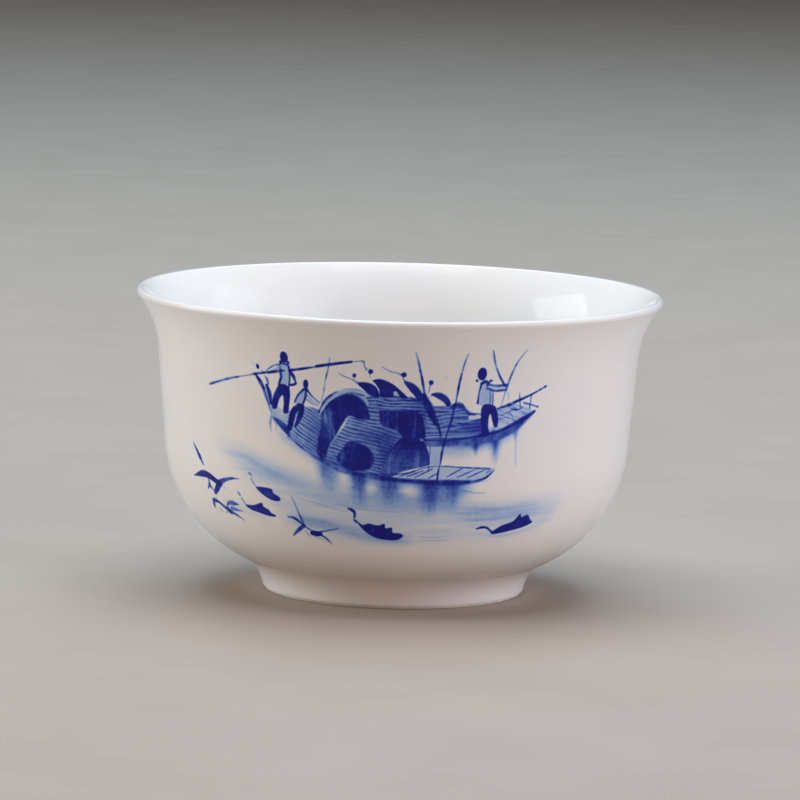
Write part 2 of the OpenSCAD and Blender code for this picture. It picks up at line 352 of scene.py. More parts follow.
def fade(gap, soft):
    """1 inside an edge and 0 outside it, with a smooth change soft millimetres either side."""
    t = np.clip((soft - gap) / (2 * soft), 0, 1)
    return t * t * (3 - 2 * t)


def curve(points, closed=False, per=7):
    """A soft curve through a few points, and how far along it each of its points is."""
    p = np.array(points, float)
    if len(p) < 3 and not closed:
        path = np.linspace(p[0], p[-1], per + 1)
    else:
        ends = [p[-1:], p, p[:2]] if closed else [2 * p[:1] - p[1:2], p, 2 * p[-1:] - p[-2:-1]]
        p = np.concatenate(ends)
        t = np.linspace(0, 1, per, endpoint=False)[:, None]
        parts = [
            0.5 * (2 * b + (c - a) * t + (2 * a - 5 * b + 4 * c - d) * t**2
                   + (3 * b - a - 3 * c + d) * t**3)
            for a, b, c, d in zip(p, p[1:], p[2:], p[3:])
        ]
        path = np.concatenate([*parts, p[-2][None]])
    steps = np.linalg.norm(np.diff(path, axis=0), axis=1)
    way = np.concatenate([[0], np.cumsum(steps)])
    return path, way / max(way[-1], 1e-9)


def gap_to(sheet, path, half):
    """How far each point of the sheet lies outside a line that is 2 x half wide."""
    gap = np.full(sheet.s.shape, 9.0)
    for i in range(len(path) - 1):
        a, d = path[i], path[i + 1] - path[i]
        s, h = sheet.s - a[0], sheet.h - a[1]
        t = np.clip((s * d[0] + h * d[1]) / max(d @ d, 1e-9), 0, 1)
        apart = np.hypot(s - t * d[0], h - t * d[1]) - half[i] - (half[i + 1] - half[i]) * t
        gap = np.minimum(gap, apart)
    return gap


def outline_gap(sheet, points, curved=True, margin=0.6):
    """Distance to a closed outline, below 0 inside it."""
    path = curve(points, closed=True)[0] if curved else np.array([*points, points[0]], float)
    gap = np.full(sheet.s.shape, 9.0)
    part = sheet.around(path, margin)
    rows = slice(*np.searchsorted(sheet.up, (part.up[0], part.up[-1] + 1e-6)))
    columns = slice(*np.searchsorted(sheet.along, (part.along[0], part.along[-1] + 1e-6)))
    near_gap = gap_to(part, path, np.zeros(len(path)))
    inside = np.zeros(part.s.shape, bool)
    for a, b in zip(path, path[1:]):
        level = (part.h < max(a[1], b[1])) & (part.h >= min(a[1], b[1]))
        if a[1] != b[1]:
            inside ^= level & (part.s < a[0] + (part.h - a[1]) * (b[0] - a[0]) / (b[1] - a[1]))
    gap[rows, columns] = np.where(inside, -near_gap, near_gap)
    return gap


def grain(sheet, size, seed, amount):
    """A factor around 1 that varies over the sheet, for uneven pigment."""
    across, up = (size, size) if np.isscalar(size) else size
    return 1 + amount * mottle(sheet.s / across + 40, sheet.h / up + 40, seed)


def stroke(sheet, points, widths, ink, soft=0.1, dry=0.25, seed=1):
    """One pull of the brush through a few points; widths are spread along it."""
    path, way = curve(points)
    widths = np.atleast_1d(widths)
    half = np.interp(way, np.linspace(0, 1, len(widths)), widths) / 2
    part = sheet.around(path, half.max() + soft + 0.1)
    body = fade(gap_to(part, path, half), soft)
    part.add(body * ink * grain(part, 0.7, seed, dry))


def fill(sheet, points, ink, soft=0.12, pooled=0.0, uneven=0.08, curved=True, seed=2):
    """A painted shape, with pigment pooled along its edge where the puddle dried."""
    gap = outline_gap(sheet, points, curved, soft + 0.3)
    body = fade(gap, soft)
    edge = pooled * np.exp(-(((gap + soft + 0.05) / 0.18) ** 2))
    sheet.add(body * (ink * grain(sheet, 0.9, seed, uneven) + edge))
    return body


def tone(sheet, points, ink, soft=0.12, uneven=0.08, curved=True, seed=3):
    """A shape painted to one tone over anything below it."""
    body = fade(outline_gap(sheet, points, curved, soft + 0.3), soft)
    sheet.cover(body, ink * grain(sheet, 0.9, seed, uneven))
    return body


def light_line(sheet, points, widths, ink, strength=1.0):
    """A line left paler than the paint around it."""
    path, way = curve(points)
    half = np.interp(way, np.linspace(0, 1, len(widths)), widths) / 2
    part = sheet.around(path, half.max() + 0.3)
    part.cover(strength * fade(gap_to(part, path, half), 0.1), ink * grain(part, 0.7, 37, 0.15))


def dot(sheet, centre, width, height, ink, soft=0.1, turn=0):
    """A round or oval touch of the brush."""
    a = np.radians(np.arange(0, 360, 45))
    c, s = math.cos(math.radians(turn)), math.sin(math.radians(turn))
    x, y = width / 2 * np.cos(a), height / 2 * np.sin(a)
    ring = np.stack([centre[0] + x * c - y * s, centre[1] + x * s + y * c], axis=1)
    fill(sheet.around(ring, 0.5), ring, ink, soft, uneven=0.04)


def stripes(sheet, body, slope, spacing, ink, sharp=0.5, wobble=0.4, seed=5):
    """Fine parallel lines inside an area, as for planks and woven mats."""
    c, s = math.cos(math.radians(slope)), math.sin(math.radians(slope))
    up, way = sheet.h * c - sheet.s * s, sheet.s * c + sheet.h * s
    phase = up / spacing + wobble * mottle(way / 2.2, up / 1.2, seed)
    line = 0.5 + 0.5 * np.cos(math.tau * phase)
    line = np.clip((line - sharp + 0.35) / 0.7, 0, 1)
    broken = 0.78 + 0.42 * mottle(way / 0.9, up / spacing, seed + 1)
    sheet.add(body * ink * line * broken)


def streaks(sheet, body, width, amount, seed, slope=0):
    """Lighter brush hairs that run up a dark area, leaning by a slope."""
    lean = math.tan(math.radians(slope))
    field = mottle((sheet.s - lean * sheet.h) / width, sheet.h / 3.5, seed)
    sheet.lift(body * amount * np.clip(field, 0, 1))


def glow(sheet, centre, width, height):
    """A soft round patch, 1 in the middle."""
    return np.exp(-(((sheet.s - centre[0]) / width) ** 2 + ((sheet.h - centre[1]) / height) ** 2))


WASH, FAR, NEAR, MEN, PERCHED, SWIMMING, TERNS, POLES = range(1, 9)
wall = Sheet(-39, 30.5, 10.5, 42, 0.09)
print("one millimetre of wall turns the cup by", round(math.degrees(1 / WALL_R), 3), "degrees")
print("points on the sheet:", wall.ink.size)

# %% [markdown]
# ## Washes and reflections
# The water is hardly painted: a few broad strokes of thinned cobalt, dragged level, and the soft
# dark shapes of the boats mirrored below them. They are the palest work and go on first.

# %% Washes
water = wall.patch(-39, 30.4, 10.6, 31.5, WASH)


def wash(points, above, below, ink, seed, ends=(4, 4)):
    """Thin colour along a line, deepest in its middle and dragged into streaks."""
    path = curve(points)[0]
    rise = water.h - np.interp(water.s, path[:, 0], path[:, 1])
    body = np.exp(-((rise / np.where(rise > 0, above, below)) ** 2))
    body *= fade(path[0, 0] + ends[0] / 2 - water.s, ends[0] / 2)
    body *= fade(water.s - path[-1, 0] + ends[1] / 2, ends[1] / 2)
    drag = 1 + 0.25 * mottle(water.s / 6 + 50, rise / 0.45 + 50, seed)
    water.add(np.where(body > 0.02, body * ink * drag, 0))


def hanging(top, tip, half, ink, seed, narrows=0.45):
    """A soft reflection that hangs from a hull, fading and narrowing towards its tip."""
    t = (top[1] - water.h) / (top[1] - tip[1])
    middle = top[0] + (tip[0] - top[0]) * t
    reach = half * (1 - narrows * np.clip(t, 0, 1))
    body = np.exp(-(np.abs((water.s - middle) / reach) ** 2.2)) * np.clip(1 - t, 0, 1)
    body *= np.clip((t + 0.25) / 0.25, 0, 1)
    water.add(np.where(body > 0.02, body * ink * grain(water, (0.45, 2.4), seed, 0.3), 0))


shallows = [
    (-30.5, 25), (-24, 24.3), (-17, 22.6), (-12, 21.6), (-4, 20.5), (6, 20), (13, 18.9), (20, 18.6),
    (28, 18.4), (28.4, 16), (26, 13.8), (18, 12.6), (6, 12.2), (-6, 11.9), (-13, 12.5),
    (-19, 14.6), (-21.5, 18.4), (-26.5, 21.6),
]
body = fade(outline_gap(water, shallows, margin=2.4), 1.7)
water.add(body * 0.12 * (1 + 0.4 * mottle(water.s / 7, water.h / 0.7, 9)))
wash([(-30, 25), (-25, 23.7), (-21, 22.3), (-17, 21.1), (-12, 20)], 1.4, 1.6, 0.16, 11, (7, 6))
wash([(-28, 24.2), (-22, 22.6), (-16, 20.8)], 0.6, 0.7, 0.05, 12)
wash([(-18, 20.4), (-13, 19.2), (-6, 18.3), (2, 18), (12, 17.9)], 1.6, 1.4, 0.13, 13, (6, 5))
wash([(7, 17), (14, 16.5), (20, 16.2), (27, 16.8)], 1.5, 1.2, 0.21, 14, (5, 6))
wash([(10, 17.2), (17, 17.3), (26, 18)], 0.4, 0.3, 0.1, 24, (4, 6))
wash([(9.8, 15.7), (14, 15.6), (21, 15.9)], 0.3, 0.22, 0.16, 15)
wash([(-19, 15.4), (-12, 14.6), (-7, 13.4), (-1, 12.7), (4, 12.5)], 1.2, 1.1, 0.2, 17, (4, 5))
wash([(-17, 14.9), (-12, 14.7), (-8, 14)], 0.5, 0.9, 0.12, 27, (2, 4))
wash([(-10, 13.4), (-3, 12.4), (5, 12.1)], 0.5, 0.5, 0.12, 18)
wash([(-33, 16.2), (-27, 15.4), (-20, 14.6)], 1, 1, 0.09, 19)
wash([(14, 13.2), (20, 12.9), (28, 14.6)], 0.3, 0.25, 0.12, 20)

# Reflections of the near boat: dark legs, with round lights left between them
wash([(-13, 24.2), (-9.5, 22.6), (-4, 21.4), (3, 20.9), (9, 20.8), (13.4, 21.4)], 0.9, 1.7, 0.4, 22, (2, 3))
wash([(-13, 21.4), (-5, 19.9), (4, 19), (11, 19)], 1.6, 1.9, 0.12, 21, (3, 4))
hanging((-11.4, 24.8), (-9.9, 19), 1.3, 0.42, 31)
hanging((-5.7, 22.9), (-5.4, 16.8), 1.5, 0.6, 32)
hanging((-0.8, 22.4), (-0.6, 17), 1.8, 0.56, 33)
hanging((5.4, 22.2), (5.4, 15.8), 1.9, 0.74, 34)
hanging((9, 22), (8.8, 16.6), 1.7, 0.62, 35)
for centre, width, height, amount in (
    ((-7.9, 22.1), 0.9, 1.1, 0.9), ((-7.8, 21), 1.2, 0.9, 0.6), ((-3.7, 20.5), 0.9, 0.9, 0.8),
    ((1.9, 20.4), 1.2, 0.6, 0.75), ((2.6, 20), 1.1, 0.9, 0.6), ((-7.9, 19.8), 1.1, 0.8, 0.25),
):
    water.lift(amount * glow(water, centre, width, height))

# Reflections of the far boat: points of colour under its dark hull
wash([(4.4, 27.2), (9, 27), (13, 27.4), (17, 28.6), (20.5, 30.6)], 0.7, 1.0, 0.4, 25, (1, 2))
wash([(4.4, 25.8), (9, 25.6), (13, 25.8)], 0.8, 0.8, 0.1, 26, (1, 3))
hanging((12.1, 27.8), (12.3, 25.2), 0.9, 0.78, 36, narrows=0.9)
hanging((15.2, 28.8), (15.5, 23.6), 1.05, 0.86, 37, narrows=0.55)
hanging((18.4, 29.6), (18.8, 27.2), 0.7, 0.6, 38, narrows=0.8)
wash([(-19.5, 28.6), (-17, 26.8), (-14, 25.2), (-11, 24)], 0.8, 0.9, 0.2, 28, (2, 2))

# Thin lines of current
for points, ink in (
    ([(-16, 18.3), (-13, 17.8), (-10, 17.1), (-7.3, 16.6)], 0.2),
    ([(-8.9, 17.8), (-6.2, 17.3), (-2.6, 17), (1, 16.9)], 0.2),
    ([(10.5, 20.3), (12.4, 19.9), (14.2, 19.8)], 0.4),
    ([(13, 21.4), (14.2, 21.6), (15, 22)], 0.2),
    ([(4.4, 13), (6.8, 12.9), (9.2, 13.1)], 0.2),
    ([(4.4, 12.4), (6.8, 12.35), (9.4, 12.5)], 0.2),
    ([(18.6, 28.6), (18.9, 26.4), (19.1, 23.6)], 0.34),
    ([(9.8, 16.7), (16, 17), (24.6, 17.6)], 0.14),
):
    stroke(water, points, (0.1, 0.16, 0.1), ink, soft=0.13, dry=0.1)
print("deepest wash:", round(float(water.ink.max()), 2))

# %% [markdown]
# ## The far boat
# It lies behind the near one: a striped mat roof, a dark cabin window, then stacked mats and a
# long dark hull that lifts to its bow on the right, where a rail and two posts stand. The pale
# ground of each part goes first, then the fine lines of the weave, then what is dark.

# %% Far boat
far = wall.patch(-5.9, 24.4, 25.4, 36.2, FAR)
PALE, LINE, DARK = 0.35, 0.6, 0.98

roof = tone(far, [
    (-5.5, 32.4), (-5.4, 34.2), (-2, 34.5), (1.6, 34.3), (4.6, 34), (4.8, 31), (4.8, 28), (3.6, 28),
    (0, 27.6), (-1.6, 29.2), (-2.6, 30), (-4.2, 30.6),
], PALE + 0.1, soft=0.14, curved=False)
stripes(far, roof, -2, 0.52, LINE + 0.08, seed=51)
far.add(roof * 0.3 * np.clip((far.s - 1.5) / 2.5, 0, 1))
window = tone(far, [
    (-2.6, 32.2), (3.1, 32.2), (3.9, 31.2), (4.4, 28.2), (0, 27.8), (-1.8, 29.3), (-2.5, 30.6),
], DARK, soft=0.18, curved=False)
streaks(far, window, 0.34, 0.22, 53)

stack = tone(far, [
    (4.4, 34), (5.5, 33), (8, 33.1), (8.5, 33.4), (9.9, 33.3), (10.5, 32.3), (11.6, 31.9),
    (12.4, 31.2), (13.6, 30.8), (13.8, 28.6), (9, 28.1), (4.3, 27.9),
], PALE + 0.1, soft=0.12, curved=False)
stripes(far, stack, 1.5, 0.57, LINE, wobble=0.5, seed=55)
far.add(stack * 0.35 * glow(far, (10.2, 29.8), 2.6, 1.1))
far.add(stack * 0.5 * glow(far, (12.6, 30), 1.4, 1.3))
stroke(far, [(8.2, 32.9), (9.2, 33.3), (9.9, 33)], (0.5, 0.8, 0.4), 0.5, soft=0.15)
stroke(far, [(8.6, 33.2), (10.2, 32.5), (10.9, 31.8)], (0.3, 0.7, 0.4), 0.5, soft=0.15)
stroke(far, [(10.9, 31.8), (12, 31.8), (13, 31.6)], (0.2, 0.3, 0.3), 0.6)
tone(far, [(10.9, 31.5), (12.2, 31.5), (12.5, 31.1), (11, 30.9)], 0.16, soft=0.12)
for h, left, right, ink in (
    (28.4, 4.6, 12.6, 0.3), (29.5, 6.5, 9.6, 0.3), (30.5, 7, 11.2, 0.32), (31.5, 6.6, 9.6, 0.3),
):
    light_line(far, [(left, h), ((left + right) / 2, h + 0.1), (right, h + 0.3)], (0.14, 0.14), ink, 0.8)

far_hull = tone(far, [
    (4.2, 28), (8, 28.05), (12.6, 28.5), (15, 29), (17.5, 30), (19.8, 31), (21.8, 31.95), (21.4, 31.3),
    (20.2, 30.2), (18.6, 29), (17, 28.2), (14.6, 27.6), (12, 27.2), (8, 27), (4.2, 27),
], 0.72, soft=0.3, uneven=0.16)
streaks(far, far_hull, 0.6, 0.2, 57)
stroke(far, [(4.2, 27.9), (8.5, 27.95), (12.8, 28.5)], (0.25, 0.3, 0.4), 0.62)
bow = [(12.8, 28.5), (14.9, 28.85), (16.8, 29.5), (18.6, 30.3), (20.3, 31.1), (21.7, 31.8)]
stroke(far, bow, (0.4, 0.45, 0.5, 0.7, 0.9, 0.4), 0.8, soft=0.16)

bow_deck = tone(far, [
    (15.2, 32.3), (17, 32.9), (18.8, 33), (21.2, 32.3), (20.2, 31.4), (18, 30.4), (15.2, 29.4),
], 0.24, soft=0.18, uneven=0.3)
stripes(far, bow_deck, -24, 0.8, 0.26, seed=59)
for points, widths, ink in (
    ([(15.3, 32.5), (17.2, 33), (18.8, 33.6), (20.9, 34.35)], (0.2, 0.5, 0.45, 0.3), 0.72),
    ([(20.9, 34.35), (22.4, 35), (23.4, 35.45)], (0.32, 0.26, 0.22), 0.74),
    ([(18.8, 34.9), (18.95, 33.8), (19.2, 32.4)], (0.1, 0.34, 0.2), 0.5),
    ([(20.95, 34.1), (20.8, 32.4)], (0.2, 0.26), 0.62),
    ([(19.7, 33.2), (21, 32.85), (22.3, 32.45)], (0.3, 0.26, 0.2), 0.64),
    ([(16, 31.4), (17.4, 32), (18.4, 32.4)], (0.1, 0.16, 0.1), 0.5),
    ([(17.6, 32.4), (18.6, 32.2), (19.6, 32.5)], (0.1, 0.25, 0.1), 0.5),
    ([(15.6, 30.9), (17, 31.1), (18.6, 30.6)], (0.1, 0.14, 0.1), 0.45),
    ([(17.2, 32), (17.9, 31.2), (18.2, 30.4)], (0.1, 0.16, 0.1), 0.4),
):
    stroke(far, points, widths, ink)
dot(far, (23.4, 35.45), 0.5, 0.4, 0.8)
dot(far, (22.5, 35.05), 0.4, 0.35, 0.75)
dot(far, (17.2, 33), 0.8, 0.45, 0.65)
dot(far, (22.2, 32.5), 0.4, 0.25, 0.7)
print("far boat, painted points:", int((far.group == FAR).sum()))

# %% [markdown]
# ## The near boat
# Its hull is a run of pale planks that sweeps down from the stern. Two arched mats roof it, each
# with a dark opening. The openings go on after the mats, their brush hairs leave lighter streaks,
# and the edges come last.

# %% Near boat
near = wall.patch(-23.2, 16.4, 20.6, 36.9, NEAR)

planks = tone(near, [
    (-21.1, 34.2), (-20.3, 31.8), (-19.5, 30.4), (-16.9, 27.5), (-14.5, 26), (-11.6, 24.4),
    (-10.4, 25.6), (-10.2, 28.4), (-11.4, 31.6), (-14.2, 32.1), (-16, 31.4), (-17.8, 31.4),
    (-19.2, 32.6), (-20.2, 34),
], PALE - 0.02, soft=0.16)
shade = np.clip((near.s + 18.6) / 3, 0.05, 1) * planks
stripes(near, shade, -29, 0.52, LINE - 0.08, seed=31)
near.add(planks * 0.3 * glow(near, (-12, 28), 2, 3.4))
near.lift(planks * 0.4 * glow(near, (-18, 31), 1.4, 1.4))

mats = tone(near, [
    (-7, 31), (-4.2, 30.7), (-2.3, 29.9), (0.4, 28.9), (1.6, 26), (0.4, 23), (-2.3, 22.4),
    (-4.4, 22.5), (-7.8, 23.1), (-10.8, 24.3), (-10.4, 25.8), (-9.2, 27.8), (-7.9, 29.6),
], PALE + 0.05, soft=0.16)
stripes(near, mats, -13, 0.53, LINE - 0.06, seed=33)
near.add(mats * 0.5 * glow(near, (-1.2, 26), 1.8, 3.6))
near.add(mats * 0.32 * glow(near, (-3.6, 28.2), 2.6, 1.1))
near.add(mats * 0.25 * glow(near, (-9.6, 24.4), 1.4, 0.8))

light_line(near, [(-6.6, 34.6), (-5.4, 34.1), (-4.6, 33.2)], (0.9, 1.1, 0.8), PALE)
arch = [
    (-11.5, 31.2), (-10.6, 32.7), (-9.2, 33.8), (-7.6, 34.4), (-6.2, 34.3), (-5, 33.5), (-4.4, 32.4),
    (-4.1, 30.8), (-5.8, 30.8), (-7.2, 31.1), (-8.2, 29.8), (-9.2, 28), (-10.4, 26), (-11, 24.4),
    (-12, 25.2), (-12.1, 27), (-11.5, 29.2),
]
opening = tone(near, arch, DARK, soft=0.24)
near.lift(opening * 0.32 * glow(near, (-10.6, 30.4), 1.2, 2.2))
streaks(near, opening * np.clip((-7.4 - near.s) / 3, 0, 1), 0.36, 0.45, 35, slope=-8)
streaks(near, opening, 0.3, 0.1, 36)

light_line(near, [(-11.7, 31.1), (-10.3, 33.3), (-8.4, 34.5), (-6.9, 34.9), (-5.4, 34.8), (-4.4, 34.4)],
           (0.2, 0.34, 0.5, 0.6, 0.7, 0.6), PALE - 0.02)
stroke(near, [(-11.9, 31.4), (-10.8, 33.3), (-9.5, 34.4), (-8.8, 34.7)], (0.2, 0.4, 0.4, 0.1), 0.72)
stroke(near, [(-9.4, 34.6), (-8, 35.1), (-6.6, 35.3), (-5.2, 35)], (0.1, 0.16, 0.14, 0.1), 0.3)
stroke(near, [(-11.3, 31.2), (-10.1, 32.9), (-8.2, 34.2), (-6.6, 34.6), (-5, 34.3)], (0.14, 0.2, 0.24), 0.6)
light_line(near, [(-11.3, 31.9), (-10, 33.5), (-8.4, 34.5)], (0.1, 0.16, 0.1), 0.24, 0.8)

hatch = tone(near, [
    (-7, 27.4), (-5.2, 27), (-3.9, 26.2), (-3.3, 24.8), (-4, 23.4), (-6, 23), (-7.9, 23.4),
    (-9, 24.6), (-8.2, 26.1),
], DARK, soft=0.26)
near.lift(hatch * 0.18 * glow(near, (-8, 25), 0.8, 1.2))
streaks(near, hatch, 0.33, 0.18, 38, slope=10)

awning = [
    (-2.2, 22.9), (-1.5, 24.6), (-0.6, 26.5), (0.6, 27.9), (2.3, 28.3), (3.9, 27.7), (4.8, 26.4),
    (5.1, 24.8), (4.9, 24.1), (2, 23.4), (-0.3, 22.8),
]
dark_awning = tone(near, awning, DARK, soft=0.18)
near.lift(dark_awning * 0.26 * np.clip((27.4 - near.h) / 3, 0, 1))
streaks(near, dark_awning * np.clip((27.6 - near.h) / 2.5, 0, 1), 0.34, 0.24, 39, slope=4)
for shift, ink in ((0.0, 0.62), (0.42, 0.6)):
    side = [(-1.75 + shift, 23.2), (-1 + shift, 25.1), (-0.2 + shift, 26.6), (0.8 + shift, 27.6)]
    light_line(near, side, (0.2, 0.18, 0.04), ink, 0.85)

near_edge = [(-11.6, 24.5), (-9.5, 23.3), (-6.8, 22.6), (-3.4, 22.2), (-0.6, 22.2), (2.6, 22.1)]
stroke(near, near_edge, (0.4, 0.6, 0.8, 0.8), 0.56, soft=0.34)
stroke(near, [(-10.6, 24), (-7.4, 23), (-4, 22.6), (-1, 22.8)], (0.1, 0.22, 0.1), 0.5)
stroke(near, [(-16.9, 27.4), (-14.6, 26), (-12.9, 24.9), (-11.4, 24.2)],
       (0.4, 0.3, 0.4, 0.4), 0.36, soft=0.24)
stroke(near, [(-19.5, 30.1), (-18.4, 29.5), (-17.3, 28.7), (-16.6, 27.6)],
       (0.3, 0.7, 0.9, 0.3), 0.66, soft=0.24)
stroke(near, [(-18.6, 29.2), (-17.6, 28.4), (-16.8, 27.6)], (0.3, 0.6, 0.2), 0.5, soft=0.16)
stroke(near, [(-15.6, 26.5), (-14.6, 25.9), (-14, 25.4)], (0.1, 0.3, 0.1), 0.5)
stroke(near, [(-21, 34.2), (-20.2, 32.3), (-19.6, 30.4)], (0.14, 0.2, 0.2), 0.34)
stroke(near, [(-19.7, 30.3), (-19.9, 29.2), (-19.8, 27.9)], (0.4, 0.4, 0.1), 0.42, soft=0.2)
stroke(near, [(-19.2, 29.8), (-18.9, 29), (-18.9, 28.3)], (0.4, 0.3, 0.1), 0.3, soft=0.2)

tone(near, [
    (-0.8, 22.3), (2.6, 23.3), (5, 23.9), (7, 24.05), (10, 23.85), (14.4, 23.6), (15.3, 23.5),
    (14.4, 22.5), (13, 22), (10.8, 21.8), (8, 21.9), (5, 21.8), (1.5, 21.9),
], 0.24, soft=0.12, curved=False)
for start, end in (
    ((0.6, 22.4), (2.9, 23.2)), ((1.8, 22.4), (4.2, 23.3)), ((3, 22.3), (5.6, 23.6)),
    ((5, 22.2), (6.4, 22.9)), ((7.9, 22.4), (10.2, 23.6)), ((9.5, 22.3), (12.2, 23.4)),
    ((11.1, 22.2), (13.8, 23.3)),
):
    stroke(near, [start, end], (0.14, 0.22, 0.14), 0.66)
stroke(near, [(-0.6, 22.6), (2, 23), (4.6, 23.8), (7, 24), (10, 23.8), (14.6, 23.5)],
       (0.2, 0.14, 0.2, 0.3), 0.62)
stroke(near, [(-2, 22), (3, 21.7), (8, 21.5), (12, 21.6), (14, 22.1), (15.4, 23.2)],
       (0.6, 0.6, 0.75, 0.85, 0.5, 0.1), 0.74, soft=0.24)
stroke(near, [(12.6, 21.7), (14.2, 22.2), (15.4, 23.2)], (0.3, 0.4, 0.1), 0.5)
stroke(near, [(14.2, 22.9), (15.6, 23.6)], (0.3, 0.1), 0.3)

tone(near, [(5.3, 24), (5.2, 26.9), (7, 26.9), (6.9, 24)], 0.27, soft=0.1, curved=False)
stroke(near, [(5.1, 27), (5.1, 25.4), (5, 23.2)], (0.16, 0.14, 0.1), 0.6)
stroke(near, [(3.9, 34.6), (4.5, 33.2), (5.2, 31.6), (5.8, 30.2)], (0.7, 1.2, 1.1, 0.4), 0.8, soft=0.2)
stroke(near, [(4.9, 31.6), (5.7, 30.6), (6.5, 29.3)], (0.2, 0.3, 0.2), 0.6)
print("near boat, painted points:", int((near.group == NEAR).sum()))

# %% [markdown]
# ## The boatmen
# Three small figures work the boats. Each is a handful of touches: an oval head with no face, a
# pale shirt left light between two dark edges, and loose dark trousers.

# %% Boatmen
men = wall.patch(-21.2, 17.4, 27.4, 41, MEN)
SHIRT = 0.31

# The man who stands at the stern and holds the long pole
tone(men, [(-18.2, 38.2), (-16.4, 38.2), (-16.3, 37), (-16.6, 34.9), (-18.1, 34.9), (-17.9, 36.4)], SHIRT)
stroke(men, [(-17.9, 38.2), (-19.2, 37.8), (-20.3, 37.1)], (0.3, 0.26, 0.2), 0.58)
stroke(men, [(-18, 37.7), (-19.2, 37.1), (-20.1, 36.6)], (0.5, 0.45, 0.3), SHIRT)
stroke(men, [(-18.3, 37), (-19.2, 36.8), (-20, 36.7)], (0.2, 0.25, 0.2), 0.6)
stroke(men, [(-18, 37.2), (-17.9, 36.2), (-18.3, 35.1)], (0.5, 0.45, 0.35), 0.82)
stroke(men, [(-17.9, 37.3), (-17.3, 37.2)], (0.35, 0.2), 0.8)
stroke(men, [(-16.6, 38), (-16.4, 36.6), (-16.6, 34.8)], (0.3, 0.24, 0.24), 0.85)
stroke(men, [(-16.4, 37.3), (-15.8, 36.5), (-15.5, 35.7)], (0.5, 0.55, 0.3), 0.78)
stroke(men, [(-16.3, 35.2), (-15.8, 35.3), (-15.4, 35.5)], (0.35, 0.4, 0.3), 0.85)
stroke(men, [(-16, 36.3), (-15.9, 35.7)], (0.16, 0.1), 0.2)
dot(men, (-17.2, 39.3), 1.3, 1.75, 0.97)
dot(men, (-17.8, 38.5), 0.6, 0.6, 0.85)
dot(men, (-16.6, 38.5), 0.5, 0.6, 0.85)
stroke(men, [(-17.4, 38.3), (-16.8, 38.2)], (0.3, 0.3), 0.7)
fill(men, [
    (-18.8, 34.3), (-18.2, 35.1), (-17.4, 35.2), (-16.6, 34.8), (-16.4, 33.7), (-16.6, 32.2),
    (-16.8, 31), (-17.6, 31), (-17.5, 32.4), (-17.6, 33.4), (-17.8, 33.5), (-18.2, 33),
    (-18.5, 32.2), (-18.8, 31.5), (-19.5, 31.5), (-19.4, 33),
], 0.95)

# The man who sits in the stern
tone(men, [(-14.4, 34.7), (-13.6, 34.7), (-13.7, 33.4), (-14.3, 32.4), (-15.6, 32.5), (-15.1, 33.8)], SHIRT)
stroke(men, [(-14.2, 34.7), (-15.1, 33.8), (-15.7, 32.7)], (0.35, 0.32, 0.2), 0.82)
stroke(men, [(-13.8, 34.6), (-14, 33.4), (-14.4, 32.4)], (0.35, 0.3, 0.25), 0.85)
stroke(men, [(-13.6, 34.6), (-12.8, 33.7), (-11.7, 32.9)], (0.3, 0.22, 0.2), 0.78)
stroke(men, [(-13.6, 33.8), (-12.8, 33.1), (-11.8, 32.6)], (0.4, 0.36, 0.2), SHIRT)
stroke(men, [(-13.8, 33.3), (-12.9, 32.7), (-11.9, 32.4)], (0.16, 0.2, 0.12), 0.55)
dot(men, (-13.85, 35.5), 0.85, 1.4, 0.95)
stroke(men, [(-14.2, 34.7), (-13.6, 34.7)], (0.35, 0.35), 0.85)
stroke(men, [(-14.9, 32.1), (-15.9, 31.2), (-16.6, 28.7)], (0.95, 1, 0.8), 0.94)
stroke(men, [(-14.5, 32.1), (-14.7, 31), (-15.6, 29.2)], (0.8, 0.85, 0.5), 0.92)
light_line(men, [(-15.4, 31), (-15.6, 30), (-15.9, 29)], (0.1, 0.2, 0.1), 0.3)

# The man who stands on the far boat and braces a pole
tone(men, [(12.4, 36), (13.2, 36.4), (14.2, 36), (14.5, 34.6), (14.5, 33.1), (12.1, 33.2), (12.2, 34.6)],
     SHIRT - 0.02)
stroke(men, [(12.5, 36.2), (12.2, 34.8), (12.1, 33.4)], (0.3, 0.2, 0.34), 0.82)
stroke(men, [(13.9, 35.2), (14.05, 34.2), (14, 33.1)], (0.1, 0.14, 0.14), 0.5)
stroke(men, [(14.4, 35.2), (14.5, 34.2), (14.45, 33.1)], (0.1, 0.16, 0.16), 0.6)
stroke(men, [(13.5, 36.1), (14.8, 35.9), (16.5, 35.95)], (0.5, 0.42, 0.5), 0.68)
stroke(men, [(13.4, 35.6), (14.8, 35.2), (16.5, 35.3)], (0.3, 0.4, 0.36), 0.66)
light_line(men, [(13.8, 35.85), (15, 35.55), (16.2, 35.6)], (0.24, 0.22, 0.14), 0.2)
dot(men, (12.55, 37.75), 1.45, 1.95, 0.97)
dot(men, (11.8, 36.75), 0.45, 0.45, 0.85)
dot(men, (14, 36.7), 0.5, 0.4, 0.85)
stroke(men, [(12.5, 36.3), (13.1, 36.6), (13.7, 36.4)], (0.4, 0.55, 0.4), 0.85)
fill(men, [
    (12.8, 32.8), (13.5, 33.2), (14.6, 33), (15.1, 32.6), (15.5, 31.2), (15.5, 29.9), (15, 29.7),
    (14.6, 30.6), (14.25, 31.7), (14, 31.2), (14, 29.8), (14.2, 28.7), (13.2, 28.4),
    (12.9, 29.8), (12.7, 31.4),
], 0.96)
print("boatmen, painted points:", int((men.group == MEN).sum()))

# %% [markdown]
# ## The fishing birds
# Cormorants rest along the roofs and swim below, and terns wheel over the water at the left. A
# bird is one loaded touch for the body, set down firmly and lifted, and a hair line for its neck.

